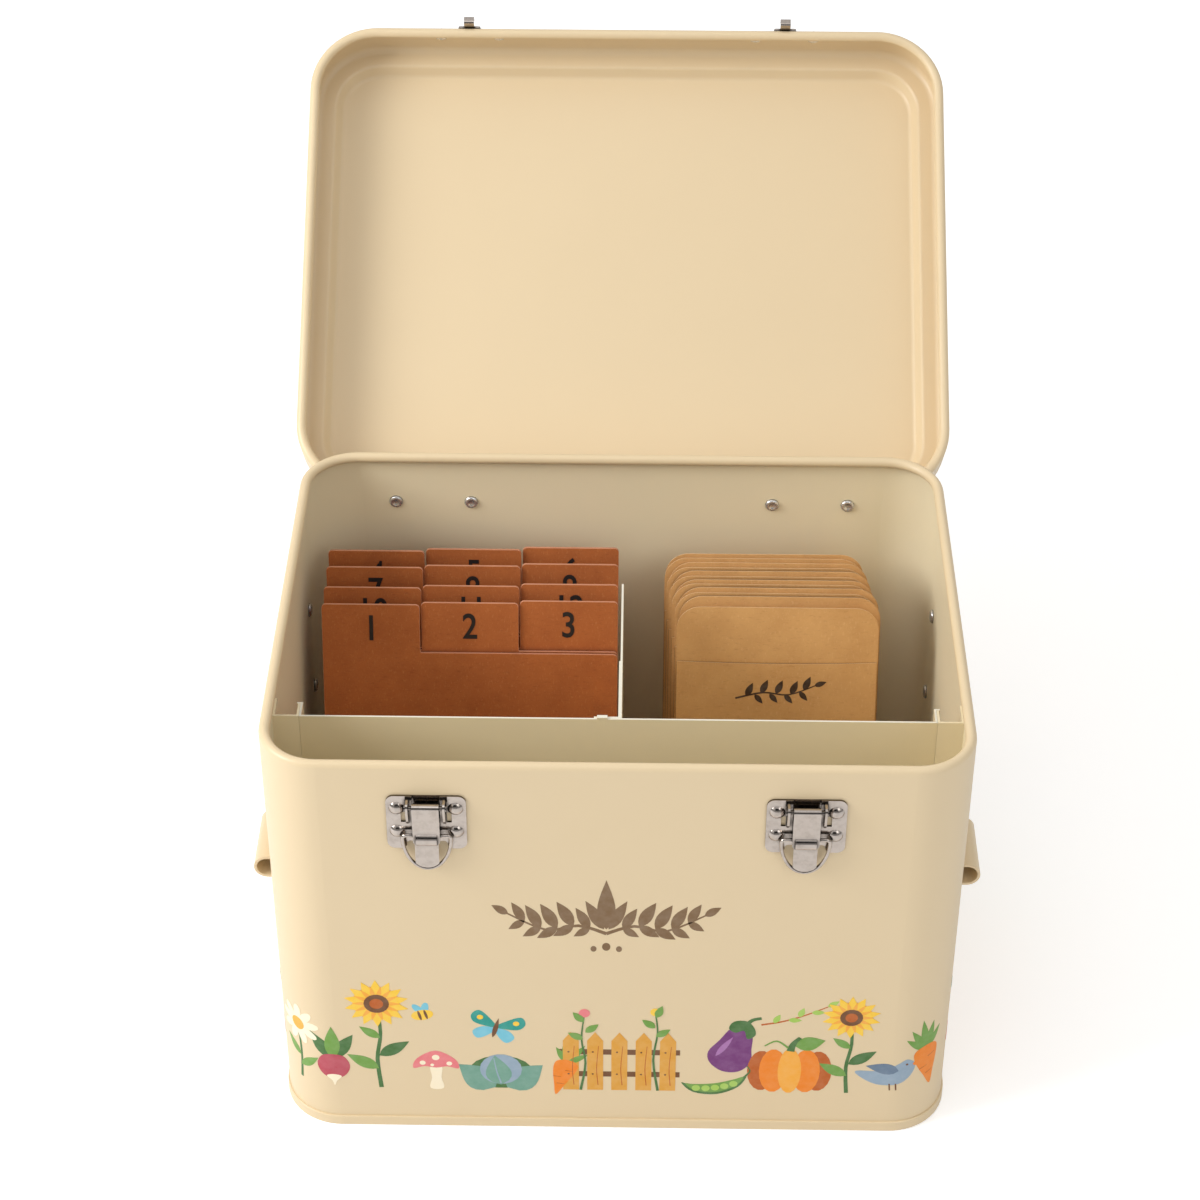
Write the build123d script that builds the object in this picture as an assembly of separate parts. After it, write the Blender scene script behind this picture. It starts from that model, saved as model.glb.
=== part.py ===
from build123d import *
import math
import os

# Garden seed organizer box: a cream sheet-steel box with a hinged lid, two
# toggle latches, four strap loops, lift-out dividers, month cards and kraft
# envelopes. Millimetres. X is across the front, +Y goes to the rear, +Z is up,
# and the origin is the centre of the base face. The lid is drawn closed and
# then turned to the open rest pose.

# ---------------------------------------------------------------- main sizes
BOX_W = 300.0          # body, outside, left to right
BOX_D = 228.0          # body, outside, front to rear
BOX_H = 215.0          # floor to the top of the rolled rim
SHEET = 0.8            # body and lid steel
CORNER_R = 26.0        # outside corner radius of the body
BEAD_R = 2.4           # rolled rim radius, outside of the curl
CURL_DEG = 262.0       # how far the rim is rolled round
LID_OPEN_DEG = 142.0   # opening angle of the rest pose
BARE_CLEAR = 0.1       # gap between pieces that slide past each other
PIN_CLEAR = 0.06       # radial running clearance of pins

# lid
LID_OVER = 6.5         # lid outside face beyond the front and rear walls
LID_OVER_SIDE = 7.5    # and beyond the side walls
LID_DROP = 16.5        # how far the closed lid hangs below the rim
LID_LEDGE_RISE = 8.0   # outer top ledge above the rim
LID_LEDGE_W = 11.0     # width of that ledge
LID_STEP_UP = 5.0      # raised panel above the ledge
LID_STEP_RUN = 3.5     # horizontal run of the step
LID_EDGE_R = 4.5       # rounding between lid wall and ledge
LID_STEP_R = 2.0       # rounding of the step
LID_RING_W = 21.0      # part of the panel made with the edge ring

# bottom pan, a shallow tray crimped round the foot of the wall
PAN_T = 0.9            # pan sheet
PAN_LIP_H = 5.5        # lip up the outside of the wall
PAN_EDGE = 0.35        # rounding of the lip's edges
PAN_RING_W = 6.0       # part of the floor made with the lip

# hinges
HINGE_X = BOX_W / 2 - 60.0 # hinge centres
HINGE_W = 50.0         # leaf width
HINGE_AXIS_OUT = 3.5   # axis behind the rear wall
HINGE_AXIS_DOWN = 19.5 # axis below the rim
HINGE_BARREL_R = 2.4
HINGE_PIN_R = 1.3
HINGE_LEAF_T = 1.0
HINGE_MID_W = 20.0     # centre knuckle, on the lid leaf
HINGE_GAP = 0.3        # between knuckles
BODY_LEAF_DOWN = 17.0  # body leaf below the axis
LID_LEAF_FROM = 3.8    # lid leaf starts above the axis
LID_LEAF_TO = 18.0
BODY_RIVET_DX = 18.0   # rivets off the hinge centre
BODY_RIVET_DZ = -9.3   # rivets from the axis
LID_RIVET_DX = 12.0
LID_RIVET_DZ = 11.2
LEAF_CORNER_R = 3.0
STOP_W = 12.0          # stop lug between the knuckles
STOP_T = 1.2
STOP_Z = -6.3          # top of the lug from the axis
STOP_GAP = 0.15        # between the lug and the open lid's leaf

# rivets
RIVET_HEAD_R = 3.3
RIVET_HEAD_H = 1.7
RIVET_SHANK_R = 1.45
RIVET_HOLE_R = 1.5
RIVET_TAIL_R = 3.1
RIVET_TAIL_H = 0.9
RIVET_DISH_R = 1.5     # dimple in the set end
RIVET_DISH_H = 0.5

# toggle latches, p is outwards from the front wall
LATCH_X = BOX_W / 2 - 71.0
PLATE_W = 33.4
PLATE_T = 1.0
PLATE_TOP = BOX_H - 16.0   # heights of the latches follow the rim
PLATE_WING_Z = BOX_H - 44.7
PLATE_CORNER_R = 3.5
PLATE_RIVET_DX = 12.2
PLATE_RIVET_Z = (BOX_H - 22.6, BOX_H - 35.2)
PLATE_WAIST_W = 17.0   # notch between the two lower wings
PLATE_WAIST_Z = BOX_H - 40.5
POCKET_W = 11.6        # sunk panel behind the lever's roll
POCKET_Z = BOX_H - 28.0
POCKET_T = 0.3
WINDOW_W = 2.0         # openings the cheeks were bent out of
WINDOW_H = 5.5
WINDOW_X = 9.6
WINDOW_Z = BOX_H - 27.4
CHEEK_X = 7.2          # inner face of the cheeks
CHEEK_T = 1.0
CHEEK_TO_P = 6.4
CHEEK_Z0 = BOX_H - 30.5          # foot of the cheeks
CHEEK_NOSE = (4.5, BOX_H - 27.0) # p, z: their lower edge turns up here,
CHEEK_FULL_Z = BOX_H - 20.8      # clear of the raised bail, to full depth here
CHEEK_Z1 = BOX_H - 17.0
LEVER_A = (4.2, BOX_H - 19.7) # p, z of the lever pin
LEVER_PIN_R = 1.0
LEVER_ROLL_R = 1.9
LEVER_W = 11.3
LEVER_T = 0.9
LEVER_FACE = ((6.1, BOX_H - 19.7), (5.1, BOX_H - 33.0), (4.5, BOX_H - 52.6))
TONGUE_W = 10.0
TONGUE_FROM_Z = BOX_H - 39.0
TONGUE_CLEAR = 0.35    # tip inside the bail
HUMP_Z = BOX_H - 36.6
HUMP_HALF_H = 3.0
HUMP_OUT = 1.7
HUMP_W = 8.8
FLANGE_T = 0.9
FLANGE_BACK_P = 2.3
FLANGE_Z = (BOX_H - 37.8, BOX_H - 23.5)
BAIL_B = (3.4, BOX_H - 35.5)  # p, z of the bail pivot
BAIL_WIRE_R = 0.8
BAIL_HALF_W = 10.1
BAIL_LEN = 18.2        # pivot to the middle of the far bar
BAIL_IN_X = 4.3        # inner end of the turned-in wire
BAIL_BEND_R = 1.6

# keepers on the lid
KEEPER_W = 38.0
KEEPER_T = 1.0
KEEPER_Z = (BOX_H - 15.4, BOX_H - 1.8)
KEEPER_WING_Z = BOX_H - 12.4   # the wings end here, the tongue goes on down
KEEPER_TONGUE_W = 11.0
KEEPER_RIVET_DX = 14.5
KEEPER_RIVET_DOWN = 8.3   # rivets below the rim
KEEPER_HOOK_W = 5.0
KEEPER_HOOK_Z = BOX_H - 20.5  # underside of the hook
KEEPER_LIP_Z = BOX_H - 16.8
KEEPER_LIP_P = 9.6        # inner face of the lip
KEEPER_CORNER_R = 3.0

# strap loops on the side walls
LOOP_W = 31.5
LOOP_T = 1.2
LOOP_FRONT_Y = 53.2 - BOX_D / 2
LOOP_REAR_Y = BOX_D / 2 - 42.0
LOOP_Z = BOX_H - 92.0
LOOP_OUT_R = 5.9
LOOP_STRAIGHT = 3.8
LOOP_TOP_Z = LOOP_Z + 29.5
LOOP_LOW_Z = LOOP_Z - 30.5
LOOP_CORNER_R = 4.0
LOOP_RIVET_Z = (LOOP_Z + 22.0, LOOP_Z - 24.3)
LOOP_RIVET_DY = 8.5       # rivets are set towards the ends of the box

# dividers
CROSS_Y = 58.5 - BOX_D / 2 # front face of the cross divider
CROSS_T = 0.9
DIV_TOP_Z = BOX_H - 23.0
DIV_GAP = 0.2          # dividers above the floor sheet
GUIDE_T = 1.0
GUIDE_IN = 11.4        # guide face, inwards from the side wall
GUIDE_LIP = 8.5        # lip towards the rear
GUIDE_WALL_FLANGE = 12.0
CROSS_FOLD = 1.6       # fold of the divider behind the lip
CENTRE_X = 1.2         # centre divider, middle of its sheet
CENTRE_T = 0.9
CENTRE_END_Y = BOX_D / 2 - 72.5
CENTRE_FLANGE_W = 12.0
CENTRE_HEM_END_Y = CROSS_Y + 40.5
CENTRE_HEM_H = 10.0
HOOK_X = (-9.0, -4.5)
HOOK_T = 0.8

# month cards, in rows that lean less towards the rear
CARD_COLS = 3
CARD_SIDE_GAP = 10.9   # to the side wall's outer face
CARD_MID_GAP = 2.3     # to the middle of the centre divider
CARD_X0 = CARD_SIDE_GAP - BOX_W / 2
CARD_W = CENTRE_X - CARD_MID_GAP - CARD_X0
CARD_T = 1.5
CARD_H = 176.4
CARD_TAB_H = 24.0
CARD_TAB_GAP = 0.6
CARD_R = 2.0
CARD_ROW_IN = (63.1, 51.5, 37.3, 25.4)  # first card's top of each row, in from the rear
CARD_ROW_LEAN = (16.0, 14.6, 12.9, 11.5)
CARD_PITCH = 1.9
STACK_GAP = 0.4        # cards and envelopes above the floor sheet

# envelopes, fanned out to the rear
ENV_X0 = 26.4
ENV_W = 94.3
ENV_H = 176.4
ENV_LAYER = 0.45
ENV_FLAP_H = 27.0
ENV_FLAP_R = 11.0
ENV_FIRST_Y = BOX_D / 2 - 60.7
ENV_LEAN = (17.0, 14.0)   # first and last
ENV_DY = (0.0, 7.9, 10.3, 14.1, 16.5, 19.6, 22.0, 25.9, 28.3, 31.9, 35.2, 38.4)
ENV_DX = (0.0, 1.2, -0.8, 0.7, -2.2, -1.2, -3.6, -2.2, -4.6, -3.4, -5.6, -5.2)

os.makedirs("parts", exist_ok=True)

HALF_W, HALF_D = BOX_W / 2, BOX_D / 2
DIV_LOW_Z = PAN_T + DIV_GAP
STACK_LOW_Z = PAN_T + STACK_GAP
HINGE_Y = HALF_D + HINGE_AXIS_OUT
HINGE_Z = BOX_H - HINGE_AXIS_DOWN
LID_LOW = BOX_H - LID_DROP
LID_W = BOX_W + 2 * LID_OVER_SIDE
LID_D = BOX_D + 2 * LID_OVER
LID_R = CORNER_R + (LID_OVER + LID_OVER_SIDE) / 2
NODES = {}


# ------------------------------------------------------------------- helpers
def face_of(points):
    """A face in the u-z plane from points; three points in a tuple make an arc."""
    lines, last = [], points[0]
    for p in points[1:]:
        if isinstance(p[0], tuple):
            lines.append(ThreePointArc(last, p[0], p[1]))
            last = p[1]
        else:
            lines.append(Line(last, p))
            last = p
    if math.dist(last, points[0]) > 1e-6:
        lines.append(Line(last, points[0]))
    return make_face(Curve() + lines)


def on_arc(c, r, deg):
    a = math.radians(deg)
    return (c[0] + r * math.cos(a), c[1] + r * math.sin(a))


def ring(points, w, d, r):
    """Carries a u-z section round a rounded rectangle. u=0 is its outer face,
    negative u is inwards."""
    flat = face_of(points)
    out = None
    for k in range(4):
        span, reach = (d, w / 2) if k % 2 == 0 else (w, d / 2)
        side = extrude(Plane.XZ * Pos(reach, 0) * flat, amount=span / 2 - r, both=True)
        side = Rot(0, 0, 90 * k) * side
        turn = revolve(Plane.XZ * Pos(r, 0) * flat, Axis.Z, 90)
        sx, sy = ((1, 1), (-1, 1), (-1, -1), (1, -1))[k]
        turn = Pos(sx * (w / 2 - r), sy * (d / 2 - r), 0) * Rot(0, 0, 90 * k) * turn
        out = side + turn if out is None else out + side + turn
    return out


def slab(w, d, r, z0, z1):
    return Pos(0, 0, z0) * extrude(RectangleRounded(w, d, r), amount=z1 - z0)


def block(x0, x1, y0, y1, z0, z1):
    return Pos((x0 + x1) / 2, (y0 + y1) / 2, (z0 + z1) / 2) * Box(
        abs(x1 - x0), abs(y1 - y0), abs(z1 - z0)
    )


def rod(p, q, r):
    """A round bar between two points."""
    a, b = Vector(*p), Vector(*q)
    pl = Plane(origin=a, z_dir=b - a)
    return extrude(pl * Circle(r), amount=(b - a).length)


def rivet(at, out, stack, shank_r=RIVET_SHANK_R):
    """Domed head on the outside, shank through `stack` of sheet, set end inside.
    `at` is on the outer sheet's face and `out` points away from the box."""
    h = RIVET_HEAD_H
    cap_r = (RIVET_HEAD_R**2 + h * h) / (2 * h)
    mid = math.degrees(math.asin(RIVET_HEAD_R / cap_r)) / 2
    arc_mid = (cap_r * math.sin(math.radians(mid)), h - cap_r + cap_r * math.cos(math.radians(mid)))
    low = -stack - RIVET_TAIL_H
    sec = face_of([
        (0, h), (arc_mid, (RIVET_HEAD_R, 0)), (shank_r, 0), (shank_r, -stack),
        (RIVET_TAIL_R, -stack), (RIVET_TAIL_R - 0.6, low), (RIVET_DISH_R, low),
        (0, low + RIVET_DISH_H),
    ])
    solid = revolve(Plane.XZ * sec, Axis.Z, 360)
    return Plane(origin=at, z_dir=out).location * solid


def hole(at, out, r=RIVET_HOLE_R, depth=6.0):
    pl = Plane(origin=at, z_dir=out)
    return extrude(pl * Circle(r), amount=depth / 2, both=True)


def front(p, x, z):
    """A point p outside the front wall."""
    return (x, -HALF_D - p, z)


def side_section(points, x0, x1):
    """Extrudes a p-z outline of the front fittings from x0 to x1."""
    flat = face_of([(-HALF_D - p[0], p[1]) if not isinstance(p[0], tuple)
                    else ((-HALF_D - p[0][0], p[0][1]), (-HALF_D - p[1][0], p[1][1]))
                    for p in points])
    return Pos(x0, 0, 0) * extrude(Plane.YZ * flat, amount=x1 - x0)


def wall_outline(points, p0, p1, x_mid):
    """Extrudes an x-z outline lying on the front wall between p0 and p1."""
    flat = face_of(points)
    pl = Plane(origin=(x_mid, -HALF_D - p0, 0), x_dir=(1, 0, 0), z_dir=(0, -1, 0))
    return extrude(pl * flat, amount=p1 - p0)


def put(name, *shapes):
    """Registers a node made of one or more separate solids."""
    solids = []
    for s in shapes:
        solids += list(s.solids())
    NODES[name] = solids


def to_open(shape):
    """Turns a piece drawn on the closed lid to the open rest pose."""
    return (Pos(0, HINGE_Y, HINGE_Z) * Rot(-LID_OPEN_DEG, 0, 0)
            * Pos(0, -HINGE_Y, -HINGE_Z) * shape)


# ---------------------------------------------------------------- body shell
def curl(c, start, turn, r_out, r_in):
    """Outer arc, end cap and inner arc of a rolled edge round centre c."""
    end = start + turn
    mid = start + turn / 2
    return [
        (on_arc(c, r_out, mid), on_arc(c, r_out, end)),
        on_arc(c, r_in, end),
        (on_arc(c, r_in, mid), on_arc(c, r_in, start)),
    ]


rim_c = (-BEAD_R, BOX_H - BEAD_R)
body_section = [(0.0, PAN_T), (0.0, BOX_H - BEAD_R)]
body_section += curl(rim_c, 0, CURL_DEG, BEAD_R, BEAD_R - SHEET)
body_section += [(-SHEET, PAN_T)]
body = ring(body_section, BOX_W, BOX_D, CORNER_R)

hinge_holes, latch_holes, loop_holes = [], [], []
for sx in (-1, 1):
    for dx in (-BODY_RIVET_DX, BODY_RIVET_DX):
        hinge_holes.append(((sx * HINGE_X + dx, HALF_D, HINGE_Z + BODY_RIVET_DZ), (0, 1, 0)))
    for dx in (-PLATE_RIVET_DX, PLATE_RIVET_DX):
        for z in PLATE_RIVET_Z:
            latch_holes.append(((sx * LATCH_X + dx, -HALF_D, z), (0, -1, 0)))
    for y in (LOOP_FRONT_Y - LOOP_RIVET_DY, LOOP_REAR_Y + LOOP_RIVET_DY):
        for z in LOOP_RIVET_Z:
            loop_holes.append(((sx * HALF_W, y, z), (sx, 0, 0)))
for at, out in hinge_holes + latch_holes + loop_holes:
    body -= hole(at, out)

# the vertical seam of the wrapped sheet, at the right rear corner
SEAM_DEG, SEAM_W, SEAM_DEPTH = 58.0, 0.5, 0.25
seam_c = (HALF_W - CORNER_R, HALF_D - CORNER_R)
for r_mid in (CORNER_R - SEAM_DEPTH / 2, CORNER_R - SHEET + SEAM_DEPTH / 2):
    groove = Pos(r_mid, 0, BOX_H / 2) * Box(SEAM_DEPTH, SEAM_W, BOX_H - 4 * BEAD_R - PAN_LIP_H)
    body -= Pos(seam_c[0], seam_c[1], 0) * Rot(0, 0, SEAM_DEG) * groove
put("body_shell", body)

# ---------------------------------------------------------------- bottom pan
pan_section = [
    (-PAN_RING_W, 0.0), (PAN_T - PAN_EDGE, 0.0), (PAN_T, PAN_EDGE),
    (PAN_T, PAN_LIP_H - PAN_EDGE), (PAN_T - PAN_EDGE, PAN_LIP_H), (0.0, PAN_LIP_H),
    (0.0, PAN_T), (-PAN_RING_W, PAN_T),
]
pan_in = PAN_RING_W - 0.2
pan = ring(pan_section, BOX_W, BOX_D, CORNER_R)
pan += slab(BOX_W - 2 * pan_in, BOX_D - 2 * pan_in, CORNER_R - pan_in, 0.0, PAN_T)
put("bottom_pan", pan)

# ----------------------------------------------------------------- lid shell
ledge_z = BOX_H + LID_LEDGE_RISE
panel_z = ledge_z + LID_STEP_UP
lid_bead_c = (-BEAD_R, LID_LOW + BEAD_R)
step_deg = math.degrees(math.atan2(LID_STEP_UP, LID_STEP_RUN))


def rounded_run(pts, radii):
    """Polyline with its inner corners rounded, as points for face_of."""
    out = [pts[0]]
    for i in range(1, len(pts) - 1):
        a, b, c, r = Vector(*pts[i - 1]), Vector(*pts[i]), Vector(*pts[i + 1]), radii[i - 1]
        u, v = (a - b).normalized(), (c - b).normalized()
        half = math.acos(max(-1, min(1, u.dot(v)))) / 2
        t = r / math.tan(half)
        bis = (u + v).normalized()
        centre = b + bis * (r / math.sin(half))
        mid = centre - bis * r
        p, q = b + u * t, b + v * t
        out += [(p.X, p.Y), ((mid.X, mid.Y), (q.X, q.Y))]
    return out + [pts[-1]]


outer_run = [(0.0, LID_LOW + BEAD_R), (0.0, ledge_z), (-LID_LEDGE_W, ledge_z),
             (-LID_LEDGE_W - LID_STEP_RUN, panel_z), (-LID_RING_W, panel_z)]
turn_in = SHEET * math.tan(math.radians(step_deg / 2))
inner_run = [(-LID_RING_W, panel_z - SHEET),
             (-LID_LEDGE_W - LID_STEP_RUN + turn_in, panel_z - SHEET),
             (-LID_LEDGE_W + turn_in, ledge_z - SHEET),
             (-SHEET, ledge_z - SHEET), (-SHEET, LID_LOW + BEAD_R)]
lid_section = rounded_run(outer_run, (LID_EDGE_R, LID_STEP_R + SHEET, LID_STEP_R))
lid_section += rounded_run(inner_run, (LID_STEP_R + SHEET, LID_STEP_R, LID_EDGE_R - SHEET))
back = curl(lid_bead_c, 0, -CURL_DEG, BEAD_R, BEAD_R - SHEET)
# the curl joins the outer face to the inner face below both of them
lid_section = (lid_section
               + [(back[2][0], on_arc(lid_bead_c, BEAD_R - SHEET, -CURL_DEG))]
               + [on_arc(lid_bead_c, BEAD_R, -CURL_DEG)]
               + [(back[0][0], (0.0, LID_LOW + BEAD_R))])
lid = ring(lid_section, LID_W, LID_D, LID_R)
core = LID_RING_W - 0.2
lid += slab(LID_W - 2 * core, LID_D - 2 * core, LID_R - core, panel_z - SHEET, panel_z)

lid_rear_y = HALF_D + LID_OVER
lid_front_y = -HALF_D - LID_OVER
lid_hinge_holes, keeper_holes = [], []
for sx in (-1, 1):
    for dx in (-LID_RIVET_DX, LID_RIVET_DX):
        lid_hinge_holes.append(((sx * HINGE_X + dx, lid_rear_y, HINGE_Z + LID_RIVET_DZ), (0, 1, 0)))
    for dx in (-KEEPER_RIVET_DX, KEEPER_RIVET_DX):
        keeper_holes.append(((sx * LATCH_X + dx, lid_front_y, BOX_H - KEEPER_RIVET_DOWN), (0, -1, 0)))
for at, out in lid_hinge_holes + keeper_holes:
    lid -= hole(at, out)
put("lid_shell", to_open(lid))

# -------------------------------------------------------------------- hinges
bore = HINGE_PIN_R + PIN_CLEAR


def yz_plate(points, x0, x1):
    """Extrudes an outline given from the hinge axis, y then z."""
    flat = face_of([(HINGE_Y + y, HINGE_Z + z) for y, z in points])
    return Pos(x0, 0, 0) * extrude(Plane.YZ * flat, amount=x1 - x0)


def rounded_leaf(x_mid, w, y0, y1, z0, z1, low):
    """Leaf with its two far corners rounded."""
    flat = Pos(x_mid, (z0 + z1) / 2) * Rectangle(w, z1 - z0)
    pl = Plane(origin=(0, y1, 0), x_dir=(1, 0, 0), z_dir=(0, -1, 0))
    leaf = extrude(pl * flat, amount=y1 - y0)
    edge_z = z0 if low else z1
    far = [e for e in leaf.edges().filter_by(Axis.Y) if abs(e.center().Z - edge_z) < 0.01]
    return fillet(far, LEAF_CORNER_R)


open_a = math.radians(LID_OPEN_DEG)
stop_end = (LID_OVER - HINGE_AXIS_OUT + HINGE_LEAF_T + STOP_GAP
            + STOP_Z * math.sin(open_a)) / math.cos(open_a)
for side, sx in (("left", -1), ("right", 1)):
    x = sx * HINGE_X
    half_mid = HINGE_MID_W / 2
    ends = [(x - HINGE_W / 2, x - half_mid - HINGE_GAP), (x + half_mid + HINGE_GAP, x + HINGE_W / 2)]
    leaf = rounded_leaf(x, HINGE_W, HALF_D, HALF_D + HINGE_LEAF_T,
                        HINGE_Z - BODY_LEAF_DOWN, HINGE_Z, True)
    for x0, x1 in ends:
        leaf += rod((x0, HINGE_Y, HINGE_Z), (x1, HINGE_Y, HINGE_Z), HINGE_BARREL_R)
        # the sheet leaves the wall and curls round the pin
        leaf += yz_plate([(-HINGE_AXIS_OUT, -HINGE_BARREL_R - 1.5), (HINGE_LEAF_T - HINGE_AXIS_OUT, -HINGE_BARREL_R - 1.5),
                          (-0.6, -HINGE_BARREL_R + 0.1), (-0.6, -HINGE_BARREL_R + 0.9),
                          (-1.9, -0.9), (-HINGE_AXIS_OUT, -0.9)], x0, x1)
    # room for the centre knuckle
    leaf -= block(x - half_mid - HINGE_GAP, x + half_mid + HINGE_GAP,
                  HALF_D - 1, HINGE_Y + HINGE_BARREL_R + 1, HINGE_Z - 3.2, HINGE_Z + 4)
    # lug bent out of the leaf, which the open lid's leaf comes down on
    leaf += yz_plate([(HINGE_LEAF_T - HINGE_AXIS_OUT - 0.2, STOP_Z), (stop_end, STOP_Z),
                      (stop_end, STOP_Z - STOP_T), (HINGE_LEAF_T - HINGE_AXIS_OUT - 0.2, STOP_Z - STOP_T)],
                     x - STOP_W / 2, x + STOP_W / 2)
    leaf -= rod((x - HINGE_W, HINGE_Y, HINGE_Z), (x + HINGE_W, HINGE_Y, HINGE_Z), bore)
    for dx in (-BODY_RIVET_DX, BODY_RIVET_DX):
        leaf -= hole((x + dx, HALF_D, HINGE_Z + BODY_RIVET_DZ), (0, 1, 0))
    put("hinge_body_leaf_" + side, leaf)

    out_rel = LID_OVER - HINGE_AXIS_OUT
    upper = rounded_leaf(x, HINGE_W, lid_rear_y, lid_rear_y + HINGE_LEAF_T,
                         HINGE_Z + LID_LEAF_FROM, HINGE_Z + LID_LEAF_TO, False)
    web = yz_plate([(1.2, 1.9), (2.35, -0.2), (4.05, 1.25), (out_rel + HINGE_LEAF_T, LID_LEAF_FROM + 1.0),
                    (out_rel, LID_LEAF_FROM + 1.0), (out_rel, 3.4)], x - half_mid, x + half_mid)
    upper += web + rod((x - half_mid, HINGE_Y, HINGE_Z), (x + half_mid, HINGE_Y, HINGE_Z), HINGE_BARREL_R)
    upper -= rod((x - HINGE_W, HINGE_Y, HINGE_Z), (x + HINGE_W, HINGE_Y, HINGE_Z), bore)
    for dx in (-LID_RIVET_DX, LID_RIVET_DX):
        upper -= hole((x + dx, lid_rear_y, HINGE_Z + LID_RIVET_DZ), (0, 1, 0))
    put("hinge_lid_leaf_" + side, to_open(upper))

    x0, x1 = x - HINGE_W / 2 - 0.8, x + HINGE_W / 2 + 0.8
    pin = rod((x0, HINGE_Y, HINGE_Z), (x1, HINGE_Y, HINGE_Z), HINGE_PIN_R)
    for a, b in ((x0 - 0.0, x0 + 0.75), (x1 - 0.75, x1)):
        pin += rod((a, HINGE_Y, HINGE_Z), (b, HINGE_Y, HINGE_Z), HINGE_PIN_R + 0.6)
    put("hinge_pin_" + side, pin)

stack_leaf = SHEET + HINGE_LEAF_T
put("hinge_rivets_body", *[
    rivet((at[0], HALF_D + HINGE_LEAF_T, at[2]), out, stack_leaf) for at, out in hinge_holes])
put("hinge_rivets_lid", *[
    to_open(rivet((at[0], lid_rear_y + HINGE_LEAF_T, at[2]), out, stack_leaf))
    for at, out in lid_hinge_holes])

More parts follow.
